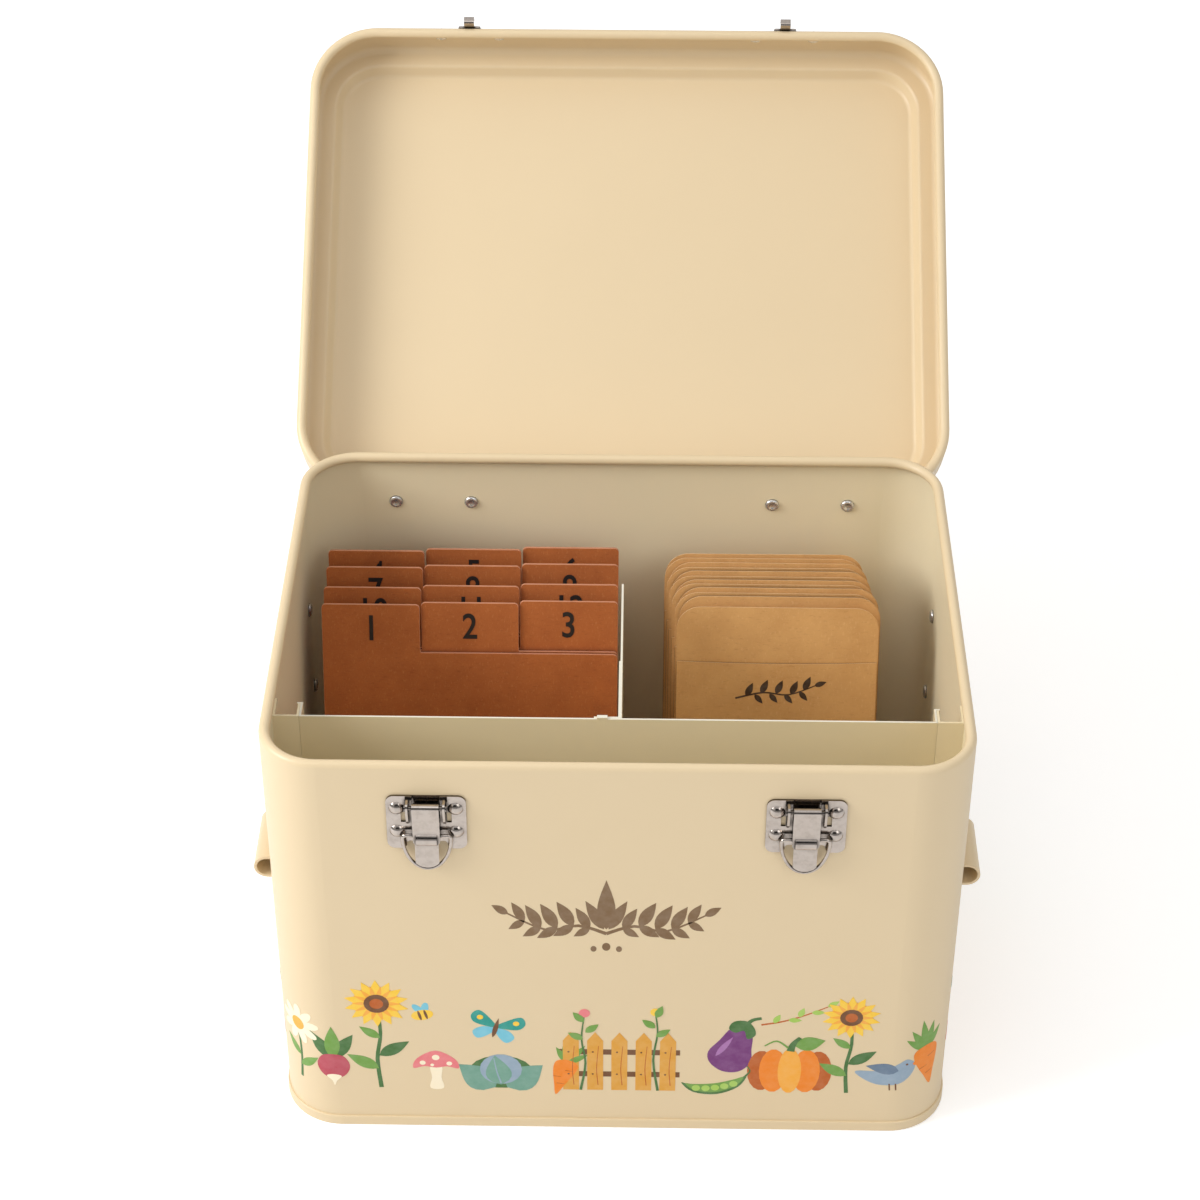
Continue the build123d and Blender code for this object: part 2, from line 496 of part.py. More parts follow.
# ------------------------------------------------------------------- latches
a_p, a_z = LEVER_A
b_p, b_z = BAIL_B
for side, sx in (("left", -1), ("right", 1)):
    x = sx * LATCH_X
    hw = PLATE_W / 2
    ww = PLATE_WAIST_W / 2
    # base: a plate with two lower wings, pocket, windows and bent-out cheeks
    pts = rounded_run(
        [(0.0, PLATE_TOP), (hw, PLATE_TOP), (hw, PLATE_WING_Z), (ww, PLATE_WING_Z),
         (ww, PLATE_WAIST_Z), (0.0, PLATE_WAIST_Z)],
        (PLATE_CORNER_R, PLATE_CORNER_R, 2.5, 1.5))
    mirror_pts = rounded_run(
        [(0.0, PLATE_WAIST_Z), (-ww, PLATE_WAIST_Z), (-ww, PLATE_WING_Z), (-hw, PLATE_WING_Z),
         (-hw, PLATE_TOP), (0.0, PLATE_TOP)],
        (1.5, 2.5, PLATE_CORNER_R, PLATE_CORNER_R))
    base = wall_outline(pts + mirror_pts[1:], 0.0, PLATE_T, x)
    base -= block(x - POCKET_W / 2, x + POCKET_W / 2, -HALF_D - PLATE_T - 1, -HALF_D - POCKET_T,
                  POCKET_Z, PLATE_TOP + 1)
    for s in (-1, 1):
        base -= block(x + s * (WINDOW_X - WINDOW_W / 2), x + s * (WINDOW_X + WINDOW_W / 2),
                      -HALF_D - 3, -HALF_D + 1, WINDOW_Z - WINDOW_H / 2, WINDOW_Z + WINDOW_H / 2)
        c0, c1 = sorted((x + s * CHEEK_X, x + s * (CHEEK_X + CHEEK_T)))
        cheek = side_section(
            rounded_run([(0.3, CHEEK_Z0), (1.6, CHEEK_Z0), CHEEK_NOSE, (CHEEK_TO_P, CHEEK_FULL_Z),
                         (CHEEK_TO_P, CHEEK_Z1), (0.3, CHEEK_Z1)], (0.6, 2.0, 1.0, 2.0)), c0, c1)
        base += cheek
    base -= rod(front(a_p, x - 12, a_z), front(a_p, x + 12, a_z), LEVER_PIN_R + PIN_CLEAR)
    for dx in (-PLATE_RIVET_DX, PLATE_RIVET_DX):
        for z in PLATE_RIVET_Z:
            base -= hole((x + dx, -HALF_D, z), (0, -1, 0))
    put("latch_base_" + side, base)

    pin = rod(front(a_p, x - CHEEK_X - CHEEK_T - 0.6, a_z), front(a_p, x + CHEEK_X + CHEEK_T + 0.6, a_z), LEVER_PIN_R)
    for s in (-1, 1):
        q = x + s * (CHEEK_X + CHEEK_T + 0.05)
        pin += rod(front(a_p, q, a_z), front(a_p, q + s * 0.55, a_z), LEVER_PIN_R + 0.5)
    put("latch_pin_" + side, pin)

    # lever: rolled top round the pin, strap, raised hump, rounded tongue
    (p0, z0), (p1, z1), (p2, z2) = LEVER_FACE
    lw = LEVER_W / 2
    strap = side_section([(p0, z0), (p1, z1), (p2, z2), (p2 - LEVER_T, z2), (p1 - LEVER_T, z1),
                          (p0 - LEVER_T, z0)], x - lw, x + lw)
    # the tip follows the inside of the bail's half ellipse
    tw = TONGUE_W / 2
    oval_z = b_z - BAIL_BEND_R
    oval_h = BAIL_LEN - BAIL_BEND_R
    tip_a, tip_h = BAIL_HALF_W - BAIL_WIRE_R - TONGUE_CLEAR, oval_h - BAIL_WIRE_R - TONGUE_CLEAR
    tip_z = oval_z - tip_h * math.sqrt(1 - (tw / tip_a) ** 2)
    keep = wall_outline(
        [(-lw, PLATE_TOP), (lw, PLATE_TOP), (lw, TONGUE_FROM_Z + 0.8), (tw, TONGUE_FROM_Z),
         (tw, tip_z), ((0.0, oval_z - tip_h), (-tw, tip_z)), (-tw, TONGUE_FROM_Z),
         (-lw, TONGUE_FROM_Z + 0.8)], 0.0, PLATE_W / 2, x)
    lever = strap & keep
    roll = rod(front(a_p, x - lw, a_z), front(a_p, x + lw, a_z), LEVER_ROLL_R)
    roll -= block(x - hw, x + hw, -HALF_D - a_p - 0.25, -HALF_D - a_p + 0.5, a_z - LEVER_ROLL_R - 1, a_z - LEVER_ROLL_R + 0.85)
    lever += roll
    face_p = p1 + (p2 - p1) * (z1 - HUMP_Z) / (z1 - z2)
    hump_r = (HUMP_HALF_H**2 + HUMP_OUT**2) / (2 * HUMP_OUT)
    hump_at = face_p + HUMP_OUT - hump_r
    hump = rod(front(hump_at, x - HUMP_W / 2, HUMP_Z), front(hump_at, x + HUMP_W / 2, HUMP_Z), hump_r)
    hump &= block(x - hw, x + hw, -HALF_D - 12, -HALF_D - face_p + 0.3, HUMP_Z - 9, HUMP_Z + 9)
    lever += hump
    inner = rod(front(hump_at, x - HUMP_W / 2 + 0.9, HUMP_Z), front(hump_at, x + HUMP_W / 2 - 0.9, HUMP_Z), hump_r - LEVER_T)
    lever -= inner & block(x - hw, x + hw, -HALF_D - 12, -HALF_D - 1, HUMP_Z - 9, HUMP_Z + 9)
    fz0, fz1 = FLANGE_Z
    for s in (-1, 1):
        f0, f1 = sorted((x + s * lw, x + s * (lw - FLANGE_T)))
        lever += side_section(
            [(p1 - 0.3, fz0), (FLANGE_BACK_P, fz0), (FLANGE_BACK_P, fz1 - 3.0), (4.9, fz1), (5.5, fz1)], f0, f1)
    lever -= rod(front(a_p, x - 12, a_z), front(a_p, x + 12, a_z), LEVER_PIN_R + PIN_CLEAR)
    lever -= rod(front(b_p, x - 12, b_z), front(b_p, x + 12, b_z), BAIL_WIRE_R + PIN_CLEAR)
    put("latch_lever_" + side, lever)

    # bail: a wire loop with both ends turned in through the lever
    bh, br = BAIL_HALF_W, BAIL_BEND_R
    y_b = -HALF_D - b_p
    k = br * (1 - math.sin(math.pi / 4))
    oval = Plane(origin=(x, y_b, oval_z), x_dir=(1, 0, 0), z_dir=(0, -1, 0)) * (
        EllipticalCenterArc((0, 0), bh, oval_h, start_angle=180, arc_size=180))
    path = Wire([
        Line((x - BAIL_IN_X, y_b, b_z), (x - bh + br, y_b, b_z)),
        ThreePointArc((x - bh + br, y_b, b_z), (x - bh + k, y_b, b_z - k), (x - bh, y_b, oval_z)),
        *oval.edges(),
        ThreePointArc((x + bh, y_b, oval_z), (x + bh - k, y_b, b_z - k), (x + bh - br, y_b, b_z)),
        Line((x + bh - br, y_b, b_z), (x + BAIL_IN_X, y_b, b_z)),
    ])
    start = Plane(origin=(x - BAIL_IN_X, y_b, b_z), z_dir=(-1, 0, 0))
    bail = sweep(start * Circle(BAIL_WIRE_R), path=path)
    put("latch_bail_" + side, bail)

    put("latch_rivets_" + side, *[
        rivet((x + dx, -HALF_D - PLATE_T, z), (0, -1, 0), SHEET + PLATE_T)
        for dx in (-PLATE_RIVET_DX, PLATE_RIVET_DX) for z in PLATE_RIVET_Z])

    # keeper: riveted to the lid, with a hook below the lid's edge
    kp = LID_OVER
    kz0, kz1 = KEEPER_Z
    kw = KEEPER_W / 2
    tw, wz = KEEPER_TONGUE_W / 2, KEEPER_WING_Z
    pts = rounded_run([(0.0, kz1), (kw, kz1), (kw, wz), (tw, wz), (tw, kz0), (0.0, kz0)],
                      (KEEPER_CORNER_R, KEEPER_CORNER_R, 1.0, 1.0))
    mpts = rounded_run([(0.0, kz0), (-tw, kz0), (-tw, wz), (-kw, wz), (-kw, kz1), (0.0, kz1)],
                       (1.0, 1.0, KEEPER_CORNER_R, KEEPER_CORNER_R))
    keeper = wall_outline(pts + mpts[1:], kp, kp + KEEPER_T, x)
    hz, lz, lp, t = KEEPER_HOOK_Z, KEEPER_LIP_Z, KEEPER_LIP_P, KEEPER_T
    hook = side_section(
        rounded_run([(kp, kz0 + 2.0), (kp, hz), (lp + t, hz), (lp + t, lz)], (1.4, 1.4))
        + rounded_run([(lp, lz), (lp, hz + t), (kp + t, hz + t), (kp + t, kz0 + 2.0)], (0.4, 0.4)),
        x - KEEPER_HOOK_W / 2, x + KEEPER_HOOK_W / 2)
    keeper += hook
    for dx in (-KEEPER_RIVET_DX, KEEPER_RIVET_DX):
        keeper -= hole((x + dx, lid_front_y, BOX_H - KEEPER_RIVET_DOWN), (0, -1, 0))
    put("keeper_" + side, to_open(keeper))

put("keeper_rivets", *[
    to_open(rivet((at[0], lid_front_y - KEEPER_T, at[2]), out, SHEET + KEEPER_T))
    for at, out in keeper_holes])

# --------------------------------------------------------------- strap loops
for side, sx in (("left", -1), ("right", 1)):
    for where, y in (("front", LOOP_FRONT_Y), ("rear", LOOP_REAR_Y)):
        ro, ri, s, t = LOOP_OUT_R, LOOP_OUT_R - LOOP_T, LOOP_STRAIGHT, LOOP_T
        flat = face_of(
            [(0.0, LOOP_TOP_Z), (t, LOOP_TOP_Z), (t, LOOP_Z + ro), (s, LOOP_Z + ro),
             ((s + ro, LOOP_Z), (s, LOOP_Z - ro)), (t, LOOP_Z - ro), (t, LOOP_LOW_Z),
             (0.0, LOOP_LOW_Z), (0.0, LOOP_Z - ri), (s, LOOP_Z - ri),
             ((s + ri, LOOP_Z), (s, LOOP_Z + ri)), (0.0, LOOP_Z + ri)])
        loop = extrude(Plane.XZ * flat, amount=LOOP_W / 2, both=True)
        corners = [e for e in loop.edges().filter_by(Axis.X)
                   if abs(e.center().Z - LOOP_TOP_Z) < 0.01 or abs(e.center().Z - LOOP_LOW_Z) < 0.01]
        loop = fillet(corners, LOOP_CORNER_R)
        if sx < 0:
            loop = Rot(0, 0, 180) * loop
        loop = Pos(sx * HALF_W, y, 0) * loop
        rivet_y = y + (LOOP_RIVET_DY if y > 0 else -LOOP_RIVET_DY)
        for z in LOOP_RIVET_Z:
            loop -= hole((sx * HALF_W, rivet_y, z), (sx, 0, 0))
        put("strap_loop_%s_%s" % (where, side), loop)
    put("loop_rivets_" + side, *[
        rivet((sx * (HALF_W + LOOP_T), at[1], at[2]), out, SHEET + LOOP_T)
        for at, out in loop_holes if at[0] * sx > 0])

# ------------------------------------------------------------------ dividers
in_w = HALF_W - SHEET
lip_x = in_w - GUIDE_IN
for side, sx in (("left", -1), ("right", 1)):
    y0 = CROSS_Y
    outline = [(in_w, y0), (in_w, y0 + GUIDE_WALL_FLANGE), (in_w - GUIDE_T, y0 + GUIDE_WALL_FLANGE),
               (in_w - GUIDE_T, y0 + GUIDE_T), (lip_x + GUIDE_T, y0 + GUIDE_T),
               (lip_x + GUIDE_T, y0 + GUIDE_LIP), (lip_x, y0 + GUIDE_LIP), (lip_x, y0)]
    flat = face_of([(sx * a, b) for a, b in outline])
    put("divider_guide_" + side, Pos(0, 0, PAN_T) * extrude(flat, amount=DIV_TOP_Z - PAN_T))

end_x = lip_x - BARE_CLEAR
back_y = CROSS_Y + GUIDE_LIP + BARE_CLEAR
half = [(0.0, CROSS_Y), (end_x, CROSS_Y), (end_x, back_y), (end_x + CROSS_FOLD, back_y),
        (end_x + CROSS_FOLD, back_y + CROSS_T), (end_x - CROSS_T, back_y + CROSS_T),
        (end_x - CROSS_T, CROSS_Y + CROSS_T), (0.0, CROSS_Y + CROSS_T)]
cross_flat = face_of(half) + face_of([(-a, b) for a, b in half])
cross = Pos(0, 0, DIV_LOW_Z) * extrude(cross_flat, amount=DIV_TOP_Z - DIV_LOW_Z)
put("cross_divider", cross)

cy0 = CROSS_Y + CROSS_T + BARE_CLEAR
cx0, cx1 = CENTRE_X - CENTRE_T / 2, CENTRE_X + CENTRE_T / 2
centre = block(cx0, cx1, cy0, CENTRE_END_Y, DIV_LOW_Z, DIV_TOP_Z)
centre += block(cx1 - CENTRE_FLANGE_W, cx1, cy0, cy0 + CENTRE_T, DIV_LOW_Z, DIV_TOP_Z)
centre += block(cx0 - 0.6, cx0, cy0, CENTRE_HEM_END_Y, DIV_TOP_Z - CENTRE_HEM_H, DIV_TOP_Z)
centre += block(HOOK_X[0], HOOK_X[1], CROSS_Y, cy0 + CENTRE_T, DIV_TOP_Z + 0.05, DIV_TOP_Z + 0.05 + HOOK_T)
centre += block(HOOK_X[0], HOOK_X[1], cy0, cy0 + CENTRE_T, DIV_TOP_Z - 1, DIV_TOP_Z + 0.05)
put("centre_divider", centre)

# --------------------------------------------------------------- month cards
def leaning(flat, deg, top_y, height, thick):
    """Stands an x-h outline on the floor, h measured up its own face, with its
    top at top_y and leaning to the rear."""
    a = math.radians(deg)
    foot_z = STACK_LOW_Z + max(thick, 0) * math.sin(a)
    pl = Plane(origin=(0, top_y - height * math.sin(a), foot_z), x_dir=(1, 0, 0),
               z_dir=(0, -math.cos(a), math.sin(a)))
    return extrude(pl * flat, amount=-thick)


col_w = CARD_W / CARD_COLS
card_x1 = CARD_X0 + CARD_W
tab_low = CARD_H - CARD_TAB_H
for i in range(len(CARD_ROW_IN) * CARD_COLS):
    row, col = divmod(i, CARD_COLS)
    a = CARD_X0 + col * col_w + CARD_TAB_GAP / 2
    b = CARD_X0 + (col + 1) * col_w - CARD_TAB_GAP / 2
    mid_x = (CARD_X0 + card_x1) / 2
    pts, radii = [(mid_x, 0.0), (card_x1, 0.0)], [CARD_R]
    if col == CARD_COLS - 1:
        pts += [(card_x1, CARD_H)]
        radii += [CARD_R]
    else:
        pts += [(card_x1, tab_low), (b, tab_low), (b, CARD_H)]
        radii += [CARD_R, CARD_TAB_GAP, CARD_R]
    if col == 0:
        pts += [(CARD_X0, CARD_H)]
        radii += [CARD_R]
    else:
        pts += [(a, CARD_H), (a, tab_low), (CARD_X0, tab_low)]
        radii += [CARD_R, CARD_TAB_GAP, CARD_R]
    pts += [(CARD_X0, 0.0), (mid_x, 0.0)]
    radii += [CARD_R]
    flat = face_of(rounded_run(pts, radii))
    put("month_card_%02d" % (i + 1), leaning(
        flat, CARD_ROW_LEAN[row], HALF_D - CARD_ROW_IN[row] + col * CARD_PITCH, CARD_H, CARD_T))

# ----------------------------------------------------------------- envelopes
for i, (dx, dy) in enumerate(zip(ENV_DX, ENV_DY)):
    x0 = ENV_X0 + dx
    x1 = x0 + ENV_W
    xm = (x0 + x1) / 2
    deg = ENV_LEAN[0] + (ENV_LEAN[1] - ENV_LEAN[0]) * i / (len(ENV_DY) - 1)
    back = face_of(rounded_run(
        [(xm, 0.0), (x1, 0.0), (x1, ENV_H), (x0, ENV_H), (x0, 0.0), (xm, 0.0)],
        (0.8, ENV_FLAP_R, ENV_FLAP_R, 0.8)))
    pocket = face_of([(x0, 0.8), (x1, 0.8), (x1, ENV_H - ENV_FLAP_H), (x0, ENV_H - ENV_FLAP_H)])
    put("envelope_%02d" % (i + 1),
        leaning(back, deg, ENV_FIRST_Y + dy, ENV_H, ENV_LAYER)
        + leaning(pocket, deg, ENV_FIRST_Y + dy, ENV_H, -ENV_LAYER))

# -------------------------------------------------------------------- export
for name, solids in NODES.items():
    whole = solids[0] if len(solids) == 1 else Compound(children=solids)
    whole.label = name
    export_step(whole, "parts/%s.step" % name)
print(len(NODES), "nodes")
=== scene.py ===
# %% [markdown]
# # A seed organizer box, dressed for its portrait
# The solids of this box come in already made, at their real size. This lesson
# gives them their finishes, adds the printed decoration and the paper goods,
# and lights the whole like a shop photograph.
#
# Every place is in the same frame as the solids: X to the right, Y to the
# rear, Z up, and the origin under the middle of the box. The box is measured
# in millimetres, which MM turns into Blender's metres. The studio round it is
# in metres.

# %% Load the solids
import math
import random

import bmesh
import bpy
from mathutils import Matrix, Vector


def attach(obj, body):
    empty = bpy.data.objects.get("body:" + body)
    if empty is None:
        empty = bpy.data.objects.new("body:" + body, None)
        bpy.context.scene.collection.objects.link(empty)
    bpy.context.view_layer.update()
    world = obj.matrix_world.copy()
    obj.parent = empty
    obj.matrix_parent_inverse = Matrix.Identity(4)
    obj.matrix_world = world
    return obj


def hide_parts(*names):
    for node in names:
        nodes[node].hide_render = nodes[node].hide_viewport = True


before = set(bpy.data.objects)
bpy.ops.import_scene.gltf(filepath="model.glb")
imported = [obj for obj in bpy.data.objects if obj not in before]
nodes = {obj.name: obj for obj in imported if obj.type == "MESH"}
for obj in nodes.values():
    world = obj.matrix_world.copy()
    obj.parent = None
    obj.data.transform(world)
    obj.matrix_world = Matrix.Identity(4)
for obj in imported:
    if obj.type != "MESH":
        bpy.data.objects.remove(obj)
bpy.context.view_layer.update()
MM = 0.001

# %% [markdown]
# ## The camera
# The photograph was taken from a little above, with a fairly long lens. A
# camera could be aimed by eye with a Track To constraint. Here its place, tilt
# and lens were measured from the edges of the box instead, so the matrix is
# built straight from those three directions.

# %% Camera
CAMERA_AT = Vector((6.87, -1009.2, 985.4)) * MM
CAMERA_DOWN = math.radians(37.378)
CAMERA_TURN = math.radians(0.878)
CAMERA_ROLL = math.radians(0.061)
CAMERA_LENS, CAMERA_SENSOR = 86.29, 36  # mm
CAMERA_NEAREST = 0.05


def spawn(name, data):
    """A new object of the scene, which shows `data`."""
    thing = bpy.data.objects.new(name, data)
    bpy.context.scene.collection.objects.link(thing)
    return thing


def camera_axes(down, turn, roll):
    """Right, up and forward of a camera that looks along +Y at zero."""
    spin = Matrix.Rotation(turn, 3, "Z")
    forward = spin @ Vector((0, math.cos(down), -math.sin(down)))
    right = spin @ Vector((1, 0, 0))
    up = spin @ Vector((0, math.sin(down), math.cos(down)))
    c, s = math.cos(roll), math.sin(roll)
    return right * c + up * s, up * c - right * s, forward


camera = spawn("camera", bpy.data.cameras.new("camera"))
right, up, forward = camera_axes(CAMERA_DOWN, CAMERA_TURN, CAMERA_ROLL)
pose = Matrix((right, up, -forward)).transposed().to_4x4()
pose.translation = CAMERA_AT
camera.matrix_world = pose
camera.data.lens = CAMERA_LENS
camera.data.sensor_width = CAMERA_SENSOR
camera.data.clip_start = CAMERA_NEAREST
bpy.context.scene.camera = camera
print("camera", [round(v, 3) for v in CAMERA_AT])

# %% [markdown]
# ## Light
# Shop photographs use large soft lights, so that enamel shows broad, gentle
# highlights and no hard shadows. A small lamp is easier to place, but would
# burn a spot into the paint. The main panel stands on the left. A weak one
# fills from the front right, and another looks down from above the front.

# %% Lights
LIGHT_SIZE, LIGHT_TO = 0.8, (0, 0.02, 0.15)
LIGHTS = [
    # name, place, watts
    ("key", (-1.4, -0.4, 1.1), 20.0),
    ("fill", (0.9, -1.3, 1.3), 3.0),
    ("over", (-0.3, -0.6, 2.0), 2.0),
]
for name, at, watts in LIGHTS:
    light = bpy.data.lights.new(name, "AREA")
    light.shape = "SQUARE"
    light.size = LIGHT_SIZE
    light.energy = watts
    lamp = spawn(name, light)
    lamp.location = at
    lamp.rotation_euler = (Vector(LIGHT_TO) - Vector(at)).to_track_quat("-Z", "Y").to_euler()
print(len(LIGHTS), "lights")

# %% [markdown]
# A world of one colour would be simpler, but bright metal in an all-white room
# shows nothing to reflect and looks like chalk. So this one is dark up to the
# horizon and pale overhead. The plain view transform keeps the colours as they
# are set here.

# %% World
WORLD_STRENGTH = 0.73
WORLD_LOW = 0.3          # how pale it is up to the horizon
WORLD_RISE = 0.5, 0.72   # from the horizon at 0.5, where straight up is 1
world = bpy.data.worlds.new("studio")
world.use_nodes = True
sky = world.node_tree
ramp = sky.nodes.new("ShaderNodeValToRGB")
for k, level in enumerate((WORLD_LOW, 1)):
    ramp.color_ramp.elements[k].position = WORLD_RISE[k]
    ramp.color_ramp.elements[k].color = (level, level, level, 1)
height = sky.nodes.new("ShaderNodeMapRange")
height.inputs["From Min"].default_value = -1
split = sky.nodes.new("ShaderNodeSeparateXYZ")
sky.links.new(sky.nodes.new("ShaderNodeTexCoord").outputs["Generated"], split.inputs[0])
sky.links.new(split.outputs["Z"], height.inputs["Value"])
sky.links.new(height.outputs[0], ramp.inputs[0])
sky.links.new(ramp.outputs[0], sky.nodes["Background"].inputs["Color"])
sky.nodes["Background"].inputs["Strength"].default_value = WORLD_STRENGTH
bpy.context.scene.world = world
bpy.context.scene.view_settings.view_transform = "Standard"
print("world at", WORLD_STRENGTH)

# %% [markdown]
# The paper under the box has to come out white. Stronger lights would bleach
# the paint too, so the paper glows instead. A Light Path node lets only the
# camera see the glow, so it doesn't light the box.

# %% Floor
FLOOR_HALF = 6.0
FLOOR_WHITE, FLOOR_ROUGH = 0.95, 0.9
FLOOR_GLOW = 0.3


def matt(name, level, roughness):
    """A plain grey material for the studio, and its Principled BSDF."""
    material = bpy.data.materials.new(name)
    material.use_nodes = True
    bsdf = material.node_tree.nodes["Principled BSDF"]
    bsdf.inputs["Base Color"].default_value = (level, level, level, 1)
    bsdf.inputs["Roughness"].default_value = roughness
    return material, bsdf


def four_corners(name, corners, material):
    """An object of one face."""
    mesh = bpy.data.meshes.new(name)
    mesh.from_pydata(corners, [], [(0, 1, 2, 3)])
    mesh.materials.append(material)
    return spawn(name, mesh)


floor_white, paper = matt("floor_white", FLOOR_WHITE, FLOOR_ROUGH)
paper.inputs["Emission Color"].default_value = (1, 1, 1, 1)
tree = floor_white.node_tree
glow = tree.nodes.new("ShaderNodeMath")
glow.operation = "MULTIPLY"
glow.inputs[1].default_value = FLOOR_GLOW
tree.links.new(tree.nodes.new("ShaderNodeLightPath").outputs["Is Camera Ray"], glow.inputs[0])
tree.links.new(glow.outputs[0], paper.inputs["Emission Strength"])
floor = four_corners(
    "floor", [(x * FLOOR_HALF, y * FLOOR_HALF, 0) for x, y in ((-1, -1), (1, -1), (1, 1), (-1, 1))],
    floor_white)
print("floor", 2 * FLOOR_HALF, "m wide")

# %% [markdown]
# Bright metal needs something dark to mirror, or its edges vanish. In a studio
# a black card does this. It stands behind the camera and is seen in
# reflections only, so it takes no light from the box and casts no shadow.

# %% Black card
FLAG_Y, FLAG_LOW, FLAG_TALL, FLAG_HALF = -2.3, 0.75, 1.5, 1.3
FLAG_BLACK = 0.01
flag_black, _ = matt("flag_black", FLAG_BLACK, 1.0)
flag = four_corners(
    "black_card", [(x * FLAG_HALF, FLAG_Y, FLAG_LOW + z * FLAG_TALL)
                   for x, z in ((-1, 0), (1, 0), (1, 1), (-1, 1))], flag_black)
for kind in ("camera", "diffuse", "shadow", "transmission", "volume_scatter"):
    setattr(flag, "visible_" + kind, False)
print("black card from", FLAG_LOW, "to", FLAG_LOW + FLAG_TALL, "m high")

# %% [markdown]
# ## Shared effects
# A few effects come back in several finishes: the faint ripple of sprayed
# enamel, the fibres of board and paper, the fine marks that handling leaves on
# plated metal, and the shade in narrow gaps. Each could be repeated in every
# material. A node group is built once instead, with its own named inputs, so a
# change to the effect reaches every finish that uses it.

# %% Helpers for node groups
COLOUR, VALUE = "NodeSocketColor", "NodeSocketFloat"
LOOK = {"Colour": COLOUR, "Roughness": VALUE, "Height": VALUE}


def new_group(name, inputs, outputs):
    """A shader group with inputs {name: default}, where a tuple is a colour,
    and outputs {name: kind of socket}."""
    group = bpy.data.node_groups.new(name, "ShaderNodeTree")
    for label, value in inputs.items():
        socket = group.interface.new_socket(
            name=label, in_out="INPUT",
            socket_type=COLOUR if isinstance(value, tuple) else VALUE)
        socket.default_value = value
    for label, kind in outputs.items():
        group.interface.new_socket(name=label, in_out="OUTPUT", socket_type=kind)
    print(name, "takes", list(inputs), "and gives", list(outputs))
    given = group.nodes.new("NodeGroupInput").outputs
    return group, given, group.nodes.new("NodeGroupOutput")


def put_out(tree, gout, **values):
    for label, value in values.items():
        tree.links.new(value, gout.inputs[label])


def add(tree, kind, **settings):
    """A node with its properties and, by name, its inputs set."""
    node = tree.nodes.new(kind)
    for key, value in settings.items():
        if key == "inputs":
            for socket, v in value.items():
                node.inputs[socket].default_value = v
        else:
            setattr(node, key, value)
    return node


def feed(tree, socket, value):
    """Sets a socket to a plain value, or links another socket to it."""
    if isinstance(value, (int, float, tuple)):
        socket.default_value = value
    else:
        tree.links.new(value, socket)


def own_place(tree):
    """Coordinates that stay with the object when it moves."""
    return add(tree, "ShaderNodeTexCoord").outputs["Object"]


def math_node(tree, operation, *values, clamp=False):
    node = add(tree, "ShaderNodeMath", operation=operation, use_clamp=clamp)
    for socket, value in zip(node.inputs, values):
        feed(tree, socket, value)
    return node.outputs[0]


def mix_colour(tree, factor, a, b):
    node = add(tree, "ShaderNodeMix", data_type="RGBA")
    feed(tree, node.inputs["Factor"], factor)
    feed(tree, node.inputs[6], a)
    feed(tree, node.inputs[7], b)
    return node.outputs[2]


def noise(tree, where, scale, detail, rough):
    node = add(tree, "ShaderNodeTexNoise", inputs={"Detail": detail, "Roughness": rough})
    feed(tree, node.inputs["Scale"], scale)
    tree.links.new(where, node.inputs["Vector"])
    return node.outputs["Fac"]


def stretched(tree, where, stretch):
    node = add(tree, "ShaderNodeVectorMath", operation="MULTIPLY")
    node.inputs[1].default_value = stretch
    tree.links.new(where, node.inputs[0])
    return node.outputs[0]


def range_map(tree, value, low, high, to_low=0.0, to_high=1.0):
    node = add(tree, "ShaderNodeMapRange", inputs={
        "From Min": low, "From Max": high, "To Min": to_low, "To Max": to_high})
    tree.links.new(value, node.inputs["Value"])
    return node.outputs[0]


print("helpers ready")

# %% [markdown]
# Sprayed enamel dries with a very faint ripple, called orange peel, and its
# colour drifts a little over a large panel. The group gives a height for a
# Bump node, a tint factor and a roughness.

# %% Enamel group
enamel, given, gout = new_group(
    "enamel_spray",
    {"Ripple size": 900.0, "Drift": 0.05, "Base roughness": 0.36,
     "Colour": (0.8, 0.7, 0.5, 1.0), "Deep colour": (0.7, 0.6, 0.4, 1.0)}, LOOK)
place = own_place(enamel)
ripple = noise(enamel, place, given["Ripple size"], 2.0, 0.5)
cloud = noise(enamel, place, 9.0, 3.0, 0.6)
tint = math_node(enamel, "MULTIPLY", cloud, given["Drift"])
spread = range_map(enamel, cloud, 0.3, 0.7, -0.03, 0.03)
put_out(enamel, gout, Height=ripple,
        Colour=mix_colour(enamel, tint, given["Colour"], given["Deep colour"]),
        Roughness=math_node(enamel, "ADD", given["Base roughness"], spread))

# %% [markdown]
# Board and kraft paper are pressed from fibres: darker and paler flecks, a
# cloudy base and a slightly fuzzy surface. Stretched noise gives the fibres.

# %% Fibre group
fibre, given, gout = new_group(
    "paper_fibre",
    {"Fleck size": 1200.0, "Fleck strength": 0.4, "Cloud strength": 0.25,
     "Colour": (0.5, 0.3, 0.1, 1.0), "Dark fleck": (0.3, 0.15, 0.05, 1.0),
     "Pale fleck": (0.7, 0.5, 0.3, 1.0)}, LOOK)
place = own_place(fibre)
long_x, long_z = [noise(fibre, stretched(fibre, place, stretch), given["Fleck size"], 3.0, 0.65)
                  for stretch in ((0.25, 1.0, 1.0), (1.0, 1.0, 0.3))]
clouds = noise(fibre, place, 60.0, 4.0, 0.6)
shade = given["Colour"]
for pattern, low, high, strength, tone in (
        (clouds, 0.35, 0.7, "Cloud strength", "Dark fleck"),
        (long_x, 0.56, 0.74, "Fleck strength", "Dark fleck"),
        (long_z, 0.56, 0.74, "Fleck strength", "Pale fleck")):
    mask = math_node(fibre, "MULTIPLY", range_map(fibre, pattern, low, high),
                     given[strength], clamp=True)
    shade = mix_colour(fibre, mask, shade, given[tone])
